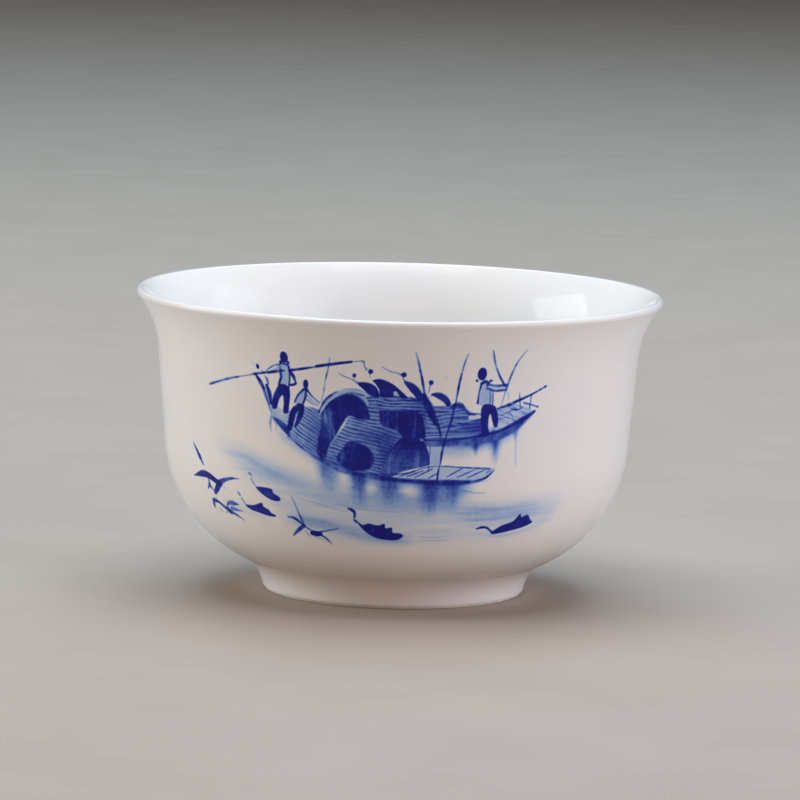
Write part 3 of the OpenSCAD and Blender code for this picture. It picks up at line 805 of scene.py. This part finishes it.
# %% Perched cormorants
perched = wall.patch(-24.4, 8.8, 30.6, 39.8, PERCHED)
BIRD = 0.9
for bird, ink in (
    ([(-5.95, 36.15), (-4.7, 36.3), (-3.6, 36), (-2.9, 35.3), (-2.7, 34.2), (-3.9, 34.3), (-5, 35.2)],
     BIRD + 0.04),
    ([(-3.65, 36.65), (-2.45, 36.85), (-0.95, 36.3), (0.15, 35.5), (1.5, 34.2), (0.6, 34.2),
      (-0.2, 35.1), (-0.6, 34.9), (-0.7, 34.3), (-2.4, 34.2), (-2.7, 35.3), (-3.2, 36.05)], BIRD + 0.06),
    ([(0.9, 36.6), (2.05, 36.45), (3.15, 35.6), (3.9, 34.2), (3.3, 33.7), (2.5, 34.5), (1.6, 35.5)], BIRD),
    ([(4.95, 34.7), (5.6, 35), (6.5, 34.95), (7.45, 34.35), (8, 33.3), (7.5, 32.9), (6.8, 33.6),
      (5.75, 34.25)], BIRD),
):
    fill(perched, bird, ink)
stroke(perched, [(-0.4, 34.7), (0.2, 34.4), (1.1, 34)], (0.8, 0.7, 0.3), 0.26, soft=0.2)
stroke(perched, [(2, 34.2), (2.8, 33.8), (3.8, 33.6)], (0.3, 0.5, 0.4), 0.5, soft=0.2)
for head, size in (((-6.4, 37.25), 0.6), ((-4, 37.95), 0.76), ((0.9, 37.6), 0.78), ((4.9, 36.5), 0.72)):
    dot(perched, head, size, size, 0.9)
for points, widths, ink in (
    ([(-8.8, 37.5), (-7.8, 37), (-6.6, 36.6), (-6, 36.2)], (0.1, 0.16, 0.14, 0.3), 0.58),
    ([(-6.5, 37.1), (-6.4, 36.6)], (0.2, 0.1), 0.4),
    ([(-4.1, 37.7), (-4.1, 37.2), (-3.9, 36.9)], (0.25, 0.12, 0.1), 0.45),
    ([(-2.3, 38.7), (-1.2, 38.1), (0, 37.8), (0.7, 37.5)], (0.12, 0.18, 0.14, 0.3), 0.62),
    ([(0.8, 37.4), (0.8, 37), (1.1, 36.6)], (0.25, 0.15, 0.3), 0.6),
    ([(4.8, 36.3), (4.7, 35.7), (4.6, 35)], (0.3, 0.14, 0.14), 0.6),
    ([(5.2, 34.8), (4.7, 34.2)], (0.2, 0.1), 0.3),
):
    stroke(perched, points, widths, ink)
dot(perched, (-21.9, 37.5), 0.55, 0.8, 0.92, turn=20)
stroke(perched, [(-23.1, 38.3), (-22.8, 38), (-22.5, 37.8)], (0.1, 0.14, 0.1), 0.3)
stroke(perched, [(-21.2, 37.1), (-20.9, 36.7)], (0.1, 0.2), 0.4)
stroke(perched, [(-22.2, 36.1), (-21.5, 35.2), (-20.9, 34.3)], (0.4, 0.7, 0.5), 0.84)
stroke(perched, [(-20.4, 34.8), (-19.9, 33.6), (-19.7, 32.1)], (0.5, 0.7, 0.3), 0.8)
stroke(perched, [(-21.1, 34.4), (-20.6, 33.2), (-20, 32)], (0.5, 0.6, 0.3), 0.3)
stroke(perched, [(-20.7, 36.2), (-20.3, 35.7), (-20.1, 35)], (0.1, 0.5, 0.2), 0.7)
print("perched cormorants, painted points:", int((perched.group == PERCHED).sum()))

# %% Swimming cormorants
swimming = wall.patch(-28.4, 25.4, 11.6, 22, SWIMMING)
for bird, ink, pooled in (
    ([(-23.1, 19.2), (-21.75, 19.35), (-20.15, 19.2), (-19.9, 18.6), (-18.9, 18.1), (-18.8, 17.6),
      (-19.5, 17.4), (-20.75, 17.6), (-22.15, 18.3)], 0.84, 0.08),
    ([(-26.05, 16.15), (-24.3, 16.3), (-22.5, 16.85), (-22.3, 16.3), (-21.4, 15.9), (-21, 15.4),
      (-20.2, 15.1), (-20.6, 14.85), (-21.9, 14.9), (-23.45, 15.2), (-25.05, 15.5)], 0.86, 0.08),
    ([(-6.4, 15.6), (-5.2, 14.7), (-4.15, 14.95), (-2.65, 14.7), (-1.6, 15), (-1.4, 14.3),
      (-0.4, 14.4), (-0.2, 13.6), (0.95, 13.5), (1.5, 13.1), (0.6, 12.45), (-1.35, 12.4),
      (-3.3, 12.8), (-4.95, 13.8)], 0.96, 0.04),
    ([(16.7, 13.5), (18.2, 14.5), (20.2, 15.1), (21.2, 16.2), (21.7, 15.7), (22.8, 16), (23.6, 15.2),
      (24.2, 14.7), (22.8, 14.1), (20.3, 13.6), (17.4, 13.2)], 0.96, 0.04),
):
    fill(swimming, bird, ink, pooled=pooled)
for points, widths, ink in (
    ([(-24.3, 21.2), (-23.9, 21.1), (-23.7, 20.9)], (0.3, 0.4, 0.2), 0.5),
    ([(-23.9, 20.5), (-23.55, 19.85), (-23, 19.2)], (0.2, 0.2, 0.16), 0.55),
    ([(-27.1, 18), (-26.8, 17.6)], (0.3, 0.35), 0.6),
    ([(-26.6, 17.2), (-26.3, 16.7), (-25.9, 16.2)], (0.2, 0.25, 0.2), 0.7),
    ([(-7.4, 17.2), (-6.8, 17), (-6.35, 16.6), (-6.4, 15.9)], (0.2, 0.5, 0.45, 0.4), 0.84),
    ([(-6.6, 15.5), (-6.2, 15.1)], (0.16, 0.3), 0.7),
    ([(13.8, 14.2), (14.8, 14.4), (15.6, 14.3), (16.4, 13.8), (17, 13.4)], (0.2, 0.42, 0.34, 0.3, 0.3), 0.9),
):
    stroke(swimming, points, widths, ink)
print("swimming cormorants, painted points:", int((swimming.group == SWIMMING).sum()))

# %% Terns
terns = wall.patch(-38.9, -8.6, 10.6, 25, TERNS)
TERN = 0.9
for points, widths, ink in (
    ([(-37.5, 24.3), (-36.8, 23.6), (-35.7, 22.4), (-34.8, 21.3)], (0.1, 0.5, 0.7, 0.3), 0.86),
    ([(-34.5, 20.9), (-34.3, 20.3)], (0.08, 0.1), 0.25),
    ([(-38.2, 19.2), (-36.6, 19.6), (-34.8, 19.9), (-33.2, 19.6), (-31.9, 19.1), (-31, 18.8)],
     (0.1, 0.6, 1.1, 1.0, 0.9, 0.9), TERN),
    ([(-31, 19), (-31.8, 18.2), (-32.8, 17.3)], (1.0, 1.0, 0.7), TERN),
    ([(-30.8, 19.1), (-29.6, 19.6), (-28, 20), (-26.4, 20.1)], (0.9, 0.6, 0.34, 0.08), 0.78),
    ([(-33.9, 19.1), (-33.9, 18.4), (-34.7, 17.6)], (0.4, 0.7, 0.1), 0.6),
    ([(-33.9, 18.3), (-33.2, 17.6)], (0.5, 0.3), 0.55),
    ([(-30.6, 18.7), (-29.7, 18.1)], (0.2, 0.1), 0.3),
    ([(-32.8, 17.2), (-33, 16.1)], (0.12, 0.12), 0.4),
    ([(-34, 15.9), (-34.3, 15)], (0.7, 0.6), 0.7),
    ([(-33.6, 16), (-32.6, 15.8), (-31.4, 15.2), (-30.2, 14.6)], (0.7, 0.4, 0.6, 0.9), TERN),
    ([(-30.2, 15.9), (-29.4, 16.1), (-27.6, 16)], (0.5, 0.8, 0.1), 0.72),
    ([(-30.2, 15.9), (-30.6, 15.3), (-30.2, 14.8)], (0.3, 0.5, 0.4), 0.6),
    ([(-29.6, 15.2), (-28.4, 15.1), (-27.2, 15)], (0.7, 0.5, 0.1), 0.5),
    ([(-30, 14.6), (-28.9, 14.2), (-27.4, 13.5)], (0.6, 0.4, 0.08), 0.66),
    ([(-32.9, 14.9), (-32.6, 14.3)], (0.2, 0.3), 0.4),
    ([(-31.6, 14.3), (-30.8, 14.5)], (0.24, 0.2), 0.4),
    ([(-31, 17.6), (-30.6, 16.8)], (0.08, 0.08), 0.2),
    ([(-16.7, 18.5), (-16.1, 16.9), (-15.5, 14.9), (-15.2, 14)], (0.12, 0.2, 0.3, 0.3), 0.6),
    ([(-17.9, 15.1), (-16.8, 15), (-15.3, 14)], (0.2, 0.45, 0.24), 0.74),
    ([(-15.3, 13.9), (-16.4, 13.2), (-17.9, 12.1)], (0.6, 0.6, 0.16), 0.76),
    ([(-15.3, 13.9), (-14.2, 13.3), (-12.7, 13)], (0.3, 0.26, 0.3), 0.62),
    ([(-14.1, 12.8), (-13.3, 12.75), (-12.6, 12.8)], (0.7, 0.9, 0.7), TERN),
    ([(-12.6, 13.1), (-10.9, 13.5), (-9.2, 13.9)], (0.3, 0.24, 0.08), 0.6),
    ([(-12.6, 12.7), (-11.6, 12), (-10.9, 11.2)], (0.3, 0.4, 0.14), 0.7),
    ([(-15.4, 13.2), (-14.7, 12.3)], (0.1, 0.24), 0.45),
    ([(-14, 12.2), (-12.4, 11.9), (-11.6, 11.5)], (0.1, 0.16, 0.06), 0.36),
):
    stroke(terns, points, widths, ink)
print("terns, painted points:", int((terns.group == TERNS).sum()))

# %% [markdown]
# ## Poles
# The boatmen's bamboo poles are single pulls of a fine brush held upright. The hand slows at each
# joint of the cane, so the line swells, darkens and now and then runs dry.

# %% Poles
poles = wall.patch(-32.6, 20.2, 21.6, 41.9, POLES)
for points, widths, ink in (
    ([(-32, 33.8), (-31, 34.1), (-30, 34.4)], (0.3, 0.4, 0.2), 0.74),
    ([(-30, 34.4), (-28.4, 34.9), (-25.6, 35.6)], (0.24, 0.4, 0.26), 0.64),
    ([(-25.6, 35.6), (-23.8, 36), (-22.6, 36.3)], (0.16, 0.14, 0.24), 0.6),
    ([(-22.6, 36.3), (-20.6, 36.7), (-18.4, 37.1)], (0.4, 0.36, 0.3), 0.78),
    ([(-16.3, 37.4), (-14.2, 37.8), (-12.3, 38.2)], (0.42, 0.4, 0.24), 0.82),
    ([(-12.1, 38.3), (-9.6, 38.8), (-6.8, 39.3)], (0.44, 0.46, 0.34), 0.86),
    ([(-6.6, 39.3), (-5.6, 39.45), (-5, 39.4), (-4.9, 38.8), (-4.6, 38.2)],
     (0.1, 0.14, 0.26, 0.14, 0.28), 0.55),
    ([(-10, 39.8), (-10.2, 38.6), (-10.7, 36.6)], (0.08, 0.26, 0.24), 0.62),
    ([(-10.7, 36.6), (-11, 34.8), (-11.4, 33)], (0.14, 0.2, 0.12), 0.46),
    ([(2.5, 41), (2.9, 39.7), (3.2, 38.4)], (0.16, 0.32, 0.3), 0.6),
    ([(3.2, 38.4), (3.6, 36.8), (4, 34.6)], (0.3, 0.4, 0.4), 0.78),
    ([(5.9, 31), (6.3, 29.8), (6.7, 28.4)], (0.5, 0.4, 0.2), 0.66),
    ([(10.1, 40.9), (9.7, 39.4), (9.4, 37.8)], (0.1, 0.28, 0.24), 0.56),
    ([(9.4, 37.8), (9.1, 36.2), (8.7, 33.3)], (0.32, 0.36, 0.18), 0.82),
    ([(8.6, 33.2), (8.2, 31), (7.6, 28.8), (7.1, 27)], (0.4, 0.34, 0.26, 0.2), 0.7),
    ([(7.1, 26.9), (6.9, 25.6), (6.8, 24.4)], (0.34, 0.36, 0.2), 0.8),
    ([(6.7, 24.2), (6.5, 23.2), (6.4, 22)], (0.14, 0.26, 0.3), 0.74),
    ([(13.8, 41.3), (14.3, 39.6), (14.8, 38.4)], (0.2, 0.34, 0.3), 0.62),
    ([(14.8, 38.4), (15.5, 37.1), (16.3, 35.9)], (0.28, 0.34, 0.34), 0.7),
    ([(19.2, 41.3), (18.5, 40.2), (17.8, 39)], (0.1, 0.22, 0.34), 0.5),
    ([(17.8, 39), (17.3, 37.6), (16.6, 35.6)], (0.26, 0.34, 0.46), 0.66),
    ([(16.5, 35.3), (16.2, 34), (15.8, 32.6)], (0.24, 0.2, 0.1), 0.4),
    ([(16.7, 35.3), (17, 34.2), (17.1, 33.2)], (0.3, 0.34, 0.2), 0.16),
    ([(7.3, 37.6), (7, 37)], (0.1, 0.14), 0.14),
):
    stroke(poles, points, widths, ink, dry=0.35)
    path = curve(points)[0]
    dot(poles, path[len(path) // 2], 0.28, 0.22, 0.35 * ink)
print("poles, painted points:", int((poles.group == POLES).sum()))

# %% [markdown]
# ## Laying the painting on the wall
# Each group of brush work becomes a skin a few hundredths of a millimetre above the glaze. A grid
# gets one point for each point of the sheet, every point is moved to its place on the wall by the
# same outline formula, and the faces that belong to other groups or hold no pigment are deleted.
# Shrinkwrap could press a grid on the cup too, but it would copy the flat facets of the turned
# mesh, and the gloss would show them.
# The skins lie side by side and never one over another. Where brush marks cross, the sheet has
# already worked out the amount of pigment, so no skin has to show through another.

# %% From sheet to skins
FINE = outer_line(6)
BARE_INK = 0.006
FILM_LIFT = 0.02
corners_of = np.lib.stride_tricks.sliding_window_view
face_group = corners_of(wall.group, (2, 2)).max(axis=(2, 3))
face_group[corners_of(wall.ink, (2, 2)).max(axis=(2, 3)) < BARE_INK] = 0


def film(name, group):
    """Wraps the part of the painted sheet that one group of brush work reached around the wall."""
    rows, columns = np.nonzero(face_group == group)
    row, column = rows.min(), columns.min()
    high, wide = rows.max() + 2 - row, columns.max() + 2 - column
    bpy.ops.object.select_all(action="DESELECT")
    bpy.ops.mesh.primitive_grid_add(x_subdivisions=int(wide) - 1, y_subdivisions=int(high) - 1, size=2)
    piece = bpy.context.object
    piece.name = piece.data.name = name
    mesh = piece.data
    flat = np.zeros(len(mesh.vertices) * 3)
    mesh.vertices.foreach_get("co", flat)
    x, y = flat.reshape(-1, 3)[:, :2].T
    at_column = column + np.rint((x + 1) / 2 * (wide - 1)).astype(int)
    at_row = row + np.rint((y + 1) / 2 * (high - 1)).astype(int)
    turn, h = wall.along[at_column] / WALL_R, wall.up[at_row]
    lean = np.interp(h, FINE[:, 1], FINE[:, 2])
    r = np.interp(h, FINE[:, 1], FINE[:, 0]) + FILM_LIFT * np.cos(lean)
    up = h - FILM_LIFT * np.sin(lean)
    place = np.stack([r * np.sin(turn), -r * np.cos(turn), up], axis=1)
    mesh.vertices.foreach_set("co", (place * MM).ravel())
    pigment = mesh.attributes.new("cobalt", "FLOAT", "POINT")
    pigment.data.foreach_set("value", wall.ink[at_row, at_column])
    corners = np.zeros(len(mesh.polygons) * 4, int)
    mesh.polygons.foreach_get("vertices", corners)
    corners = corners.reshape(-1, 4)
    others = face_group[at_row[corners].min(axis=1), at_column[corners].min(axis=1)] != group
    bpy.context.tool_settings.mesh_select_mode = (False, False, True)
    bpy.ops.object.mode_set(mode="EDIT")
    bpy.ops.mesh.select_all(action="DESELECT")
    bpy.ops.object.mode_set(mode="OBJECT")
    mesh.polygons.foreach_set("select", others)
    bpy.ops.object.mode_set(mode="EDIT")
    bpy.ops.mesh.delete(type="FACE")
    bpy.ops.object.mode_set(mode="OBJECT")
    bpy.context.tool_settings.mesh_select_mode = (True, False, False)
    bpy.ops.object.shade_smooth()
    # The real colour lies under the glaze, so the skin must not shade the porcelain below it
    piece.visible_shadow = piece.visible_diffuse = False
    print(name, "has", 2 * len(mesh.polygons), "triangles")
    return piece


washes = film("painting_washes", WASH)
near_boat = film("painting_near_boat", NEAR)
far_boat = film("painting_far_boat", FAR)
boatmen = film("painting_boatmen", MEN)
perched_birds = film("painting_perched_cormorants", PERCHED)
swimming_birds = film("painting_swimming_cormorants", SWIMMING)
flying_birds = film("painting_terns", TERNS)
cane_poles = film("painting_poles", POLES)

# %% [markdown]
# ## Glaze and biscuit finishes
# Glazed porcelain is white clay seen through glass: a soft body colour under a thin, hard gloss.
# The body gets faint clouds of warm and cool, and a tint low on each coat: cool where the glaze
# pools in the well, and on the outside a warm, darker band around the crease and down the foot,
# which is painted reflection of a warm table and painted shade in the crease, where the glaze also
# pools. The surface gets a very shallow unevenness, so that a highlight is never ruler straight.
# The bare edge has no glass at all: it is dry, fine-grained and warmer.

# %% Node helpers
def new_material(name):
    """An empty node material with its shader and output wired."""
    material = bpy.data.materials.new(name)
    material.use_nodes = True
    tree = material.node_tree
    shader = next(n for n in tree.nodes if n.type == "BSDF_PRINCIPLED")
    return material, tree, shader


def add_node(tree, kind, inputs=None, **settings):
    """Adds a node, sets its values and links the sockets that are given."""
    node = tree.nodes.new("ShaderNode" + kind)
    for key, value in settings.items():
        setattr(node, key, value)
    for key, value in (inputs or {}).items():
        if isinstance(value, bpy.types.NodeSocket):
            tree.links.new(value, node.inputs[key])
        else:
            node.inputs[key].default_value = value
    return node


def clouds(tree, place, scale, detail=3, distortion=0):
    """A noise pattern on the object's own coordinates."""
    return add_node(tree, "TexNoise", {
        "Vector": place, "Scale": scale, "Detail": detail, "Distortion": distortion,
    }).outputs["Fac"]


def ramp(tree, amount, stops):
    """A colour ramp node from (position, linear colour and alpha) stops."""
    node = add_node(tree, "ValToRGB", {"Fac": amount})
    stops = list(stops)
    while len(node.color_ramp.elements) < len(stops):
        node.color_ramp.elements.new(1)
    for element, (position, colour) in zip(node.color_ramp.elements, stops):
        element.position = position
        element.color = (*colour, 1)[:4]
    return node


def linear(red, green, blue):
    """A colour given in everyday 0 to 255 steps, as the linear values that shaders use."""
    return tuple(((c / 255 + 0.055) / 1.055) ** 2.4 for c in (red, green, blue))


def scaled(tree, amount, low, high, to_low, to_high):
    """Maps a value from one range to another and clamps it."""
    node = add_node(tree, "MapRange", {
        "Value": amount, "From Min": low, "From Max": high, "To Min": to_low, "To Max": to_high,
    })
    return node.outputs["Result"]


def mixed(tree, amount, a, b, blend="MIX"):
    """Mixes two colours."""
    node = add_node(tree, "MixRGB", {"Fac": amount, "Color1": a, "Color2": b}, blend_type=blend)
    return node.outputs["Color"]


# %% Porcelain glaze
PORCELAIN = linear(243, 242, 240)


def gloss(tree, shader, place, strength=0.05):
    """The shared glassy surface: hard gloss over a satin body, and a slight orange peel."""
    shader.inputs["IOR"].default_value = 1.5
    shader.inputs["Specular IOR Level"].default_value = 0.1
    shader.inputs["Coat Weight"].default_value = 0.6
    shader.inputs["Coat Roughness"].default_value = 0.05
    shader.inputs["Coat IOR"].default_value = 1.36
    satin = scaled(tree, clouds(tree, place, 260), 0.3, 0.7, 0.3, 0.42)
    tree.links.new(satin, shader.inputs["Roughness"])
    ripple = add_node(tree, "Bump", {
        "Height": clouds(tree, place, 420, detail=2), "Strength": strength, "Distance": 0.00012,
    })
    tree.links.new(ripple.outputs["Normal"], shader.inputs["Normal"])


def porcelain_body(tree, place):
    """The white of the body, with its faint clouds of warm and cool."""
    return ramp(tree, clouds(tree, place, 55), [
        (0.3, linear(240, 240, 241)), (0.55, PORCELAIN), (0.8, linear(245, 242, 237)),
    ]).outputs["Color"]


def glaze_finish(name, tint_full_height, tint_gone_height, pooled):
    """White porcelain under clear glaze, tinted low where glaze pools; outside, also painted reflection and
    shade.
    """
    material, tree, shader = new_material(name)
    place = add_node(tree, "TexCoord").outputs["Object"]
    height = add_node(tree, "SeparateXYZ", {"Vector": place}).outputs["Z"]
    soft = porcelain_body(tree, place)
    # The tint below a height is pooled glaze; on the outside coat it is also painted reflection of a warm
    # table and painted shade around the crease, fading towards the standing edge.
    pool_and_painted_light = scaled(tree, height, tint_full_height * MM, tint_gone_height * MM, 0.55, 0.0)
    tint_fades_low = scaled(tree, height, 1.5 * MM, 4 * MM, 0.25, 1.0)
    pool_and_painted_light = add_node(tree, "Math", {0: pool_and_painted_light, 1: tint_fades_low}, operation="MULTIPLY").outputs[0]
    colour = mixed(tree, pool_and_painted_light, soft, (*pooled, 1))
    tree.links.new(colour, shader.inputs["Base Color"])
    gloss(tree, shader, place)
    return material


# %% Bare biscuit edge
def biscuit_finish(name):
    """Unglazed fired clay: dry, fine-grained, a little warm, with a toasted line near the glaze."""
    material, tree, shader = new_material(name)
    place = add_node(tree, "TexCoord").outputs["Object"]
    height = add_node(tree, "SeparateXYZ", {"Vector": place}).outputs["Z"]
    base = ramp(tree, clouds(tree, place, 700, detail=6), [
        (0.3, linear(222, 214, 202)), (0.55, linear(233, 228, 219)), (0.75, linear(240, 236, 229)),
    ]).outputs["Color"]
    toast = scaled(tree, height, 0.25 * MM, 0.6 * MM, 0.0, 0.35)
    colour = mixed(tree, toast, base, (*linear(214, 190, 160), 1))
    tree.links.new(colour, shader.inputs["Base Color"])
    tree.links.new(scaled(tree, clouds(tree, place, 1500), 0.3, 0.7, 0.7, 0.92), shader.inputs["Roughness"])
    tooth = add_node(tree, "Bump", {
        "Height": clouds(tree, place, 3000, detail=4), "Strength": 0.5, "Distance": 0.00005,
    })
    tree.links.new(tooth.outputs["Normal"], shader.inputs["Normal"])
    return material


# %% [markdown]
# ## Cobalt under the glaze
# Cobalt is a stain: it works like a coloured filter lying on the white body, so the body colour is
# multiplied by the stain. The amount on each point of a sheet picks the filter. Thin cobalt is a
# greyish sky blue, and each further layer turns it to ultramarine and then to a blue black, while
# the gloss of the glaze above stays the same. Where the amount falls to nothing the filter is
# clear, so a wash has no rim. Fine grains of oxide show in the middle tones.

# %% Cobalt finish
COBALT = [
    (0.00, (255, 255, 255)), (0.10, (233, 242, 254)), (0.22, (201, 222, 252)),
    (0.36, (158, 194, 247)), (0.50, (112, 150, 231)), (0.64, (72, 104, 206)),
    (0.78, (34, 62, 181)), (0.90, (8, 26, 158)), (1.00, (0, 4, 138)),
]


def cobalt_finish(name, grain_depth):
    """Painted cobalt whose depth follows the piece's own pigment amount."""
    material, tree, shader = new_material(name)
    place = add_node(tree, "TexCoord").outputs["Object"]
    amount = add_node(tree, "Attribute", attribute_name="cobalt").outputs["Fac"]
    grains = scaled(tree, clouds(tree, place, 2600, detail=2), 0.3, 0.7, 1 - grain_depth, 1 + grain_depth)
    drift = scaled(tree, clouds(tree, place, 620, detail=3), 0.3, 0.7, 0.95, 1.05)
    settled = add_node(tree, "Math", {0: amount, 1: grains}, operation="MULTIPLY").outputs[0]
    settled = add_node(tree, "Math", {0: settled, 1: drift}, operation="MULTIPLY").outputs[0]
    stain = ramp(tree, settled, [(at, linear(*colour)) for at, colour in COBALT]).outputs["Color"]
    colour = mixed(tree, 1, porcelain_body(tree, place), stain, blend="MULTIPLY")
    tree.links.new(colour, shader.inputs["Base Color"])
    gloss(tree, shader, place)
    return material


# %% Finishes onto pieces, and pieces onto the frame
# Outside: a warm, darker band around the crease and down the foot, painted reflection of a warm table and
# painted shade in the crease.
glaze = glaze_finish("clear_glaze_outside", 4.4, 10, linear(222, 208, 196))
well_glaze = glaze_finish("clear_glaze_inside", 5, 16, linear(198, 209, 214))
base_glaze = glaze_finish("clear_glaze_underside", 3.2, 4.4, linear(228, 232, 232))
biscuit = biscuit_finish("biscuit_clay")
deep = cobalt_finish("cobalt_loaded_brush", 0.05)
middle = cobalt_finish("cobalt_fine_hatching", 0.07)
thin = cobalt_finish("cobalt_thin_wash", 0.08)

for piece, material, slot, nodes in (
    (clay, biscuit, "biscuit", ("porcelain_bowl", "foot_ring")),
    (outer_coat, glaze, "clear_glaze", ("outer_glaze",)),
    (inner_coat, well_glaze, "clear_glaze", ("inner_glaze",)),
    (base_coat, base_glaze, "clear_glaze", ("base_glaze",)),
    (washes, thin, "cobalt_wash", ("painted_wash",)),
    (near_boat, middle, "cobalt_mid", ("painted_near_hull", "painted_near_cabin")),
    (far_boat, middle, "cobalt_mid", ("painted_far_hull", "painted_far_cabin")),
    (boatmen, deep, "cobalt_dark", ("painted_boatmen",)),
    (perched_birds, deep, "cobalt_dark", ("painted_perched_birds",)),
    (swimming_birds, deep, "cobalt_dark", ("painted_swimming_birds",)),
    (flying_birds, deep, "cobalt_dark", ("painted_terns",)),
    (cane_poles, deep, "cobalt_dark", ("painted_poles",)),
):
    piece.data.materials.append(material)
    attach(piece, "root")
    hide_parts(*nodes)

# %% [markdown]
# ## Where it stands and how it is lit
# A plain pale floor and six soft lights. One hangs above and one above and behind: they fill the
# well and leave a shade under the lip. One at each side and a weaker one at the right front round
# the wall. A low warm one in front stands for light that a table throws back. The world around
# stays dim, so that the edges of the glossy wall turn darker, as they do in a studio.

# %% Floor
bpy.ops.object.select_all(action="DESELECT")
bpy.ops.mesh.primitive_plane_add(size=8, location=(0, 0, 0))
floor = bpy.context.object
floor.name = floor.data.name = "floor"
paper, tree, shader = new_material("pale_floor")
place = add_node(tree, "TexCoord").outputs["Object"]
tree.links.new(ramp(tree, clouds(tree, place, 40), [
    (0.3, linear(174, 162, 152)), (0.7, linear(179, 167, 157)),
]).outputs["Color"], shader.inputs["Base Color"])
shader.inputs["Roughness"].default_value = 0.75
floor.data.materials.append(paper)


# %% Lights
def softbox(name, place, aim, size, power, colour):
    """A square area light that faces a point."""
    light = bpy.data.lights.new(name, "AREA")
    light.shape = "RECTANGLE"
    light.size, light.size_y = size
    light.energy = power
    light.color = colour
    holder = bpy.data.objects.new(name, light)
    bpy.context.scene.collection.objects.link(holder)
    holder.location = place
    way = Vector(aim) - Vector(place)
    holder.rotation_euler = way.to_track_quat("-Z", "Y").to_euler()
    return holder


cup_middle = (0, 0, cup_h / 2 * MM)
WIDE, TALL = (0.9, 0.9), (0.7, 0.7)
softbox("top_softbox", (0, 0, 1.1), cup_middle, WIDE, 9.8, (0.92, 0.96, 1.0))
softbox("back_softbox", (0, 0.7, 0.9), cup_middle, (0.9, 0.7), 5.2, (0.5, 0.8, 1.0))
softbox("left_softbox", (-1.1, 0.05, 0.35), cup_middle, TALL, 7.6, (1.0, 0.99, 1.0))
softbox("right_softbox", (1.1, 0.05, 0.35), cup_middle, TALL, 4.5, (0.88, 0.9, 1.0))
softbox("right_front_softbox", (0.85, -0.65, 0.35), cup_middle, (0.6, 0.7), 3.4, (0.92, 0.88, 1.0))
softbox("front_fill", (0, -1.3, 0.5), cup_middle, (0.9, 0.5), 2.0, (1.0, 0.6, 0.3))
world = bpy.data.worlds.new("dim_studio")
bpy.context.scene.world = world
world.use_nodes = True
background = next(n for n in world.node_tree.nodes if n.type == "BACKGROUND")
background.inputs["Color"].default_value = (0.02, 0.02, 0.02, 1)
bpy.context.scene.view_settings.view_transform = "Standard"

# %% [markdown]
# ## The camera
# A long lens a little above the rim, so the cup looks calm and the well shows as a narrow oval.

# %% Camera
elevation, roll, distance = math.radians(7.94), math.radians(1.45), 0.915
right = Vector((1, 0, 0))
rise = Vector((0, math.sin(elevation), math.cos(elevation)))
eye = Vector(cup_middle) + distance * Vector((0, -math.cos(elevation), math.sin(elevation)))
camera_right = right * math.cos(roll) + rise * math.sin(roll)
camera_up = rise * math.cos(roll) - right * math.sin(roll)
aim = Vector(cup_middle) + camera_right * 0.56 * MM + camera_up * 6.08 * MM
back = (eye - aim).normalized()
side = camera_up.cross(back).normalized()
up = back.cross(side)
lens = bpy.data.cameras.new("camera")
lens.lens = 270
lens.sensor_width = 36
lens.clip_start, lens.clip_end = 0.05, 20
camera = bpy.data.objects.new("camera", lens)
bpy.context.scene.collection.objects.link(camera)
camera.matrix_world = Matrix((
    (side.x, up.x, back.x, eye.x), (side.y, up.y, back.y, eye.y), (side.z, up.z, back.z, eye.z), (0, 0, 0, 1),
))
bpy.context.scene.camera = camera
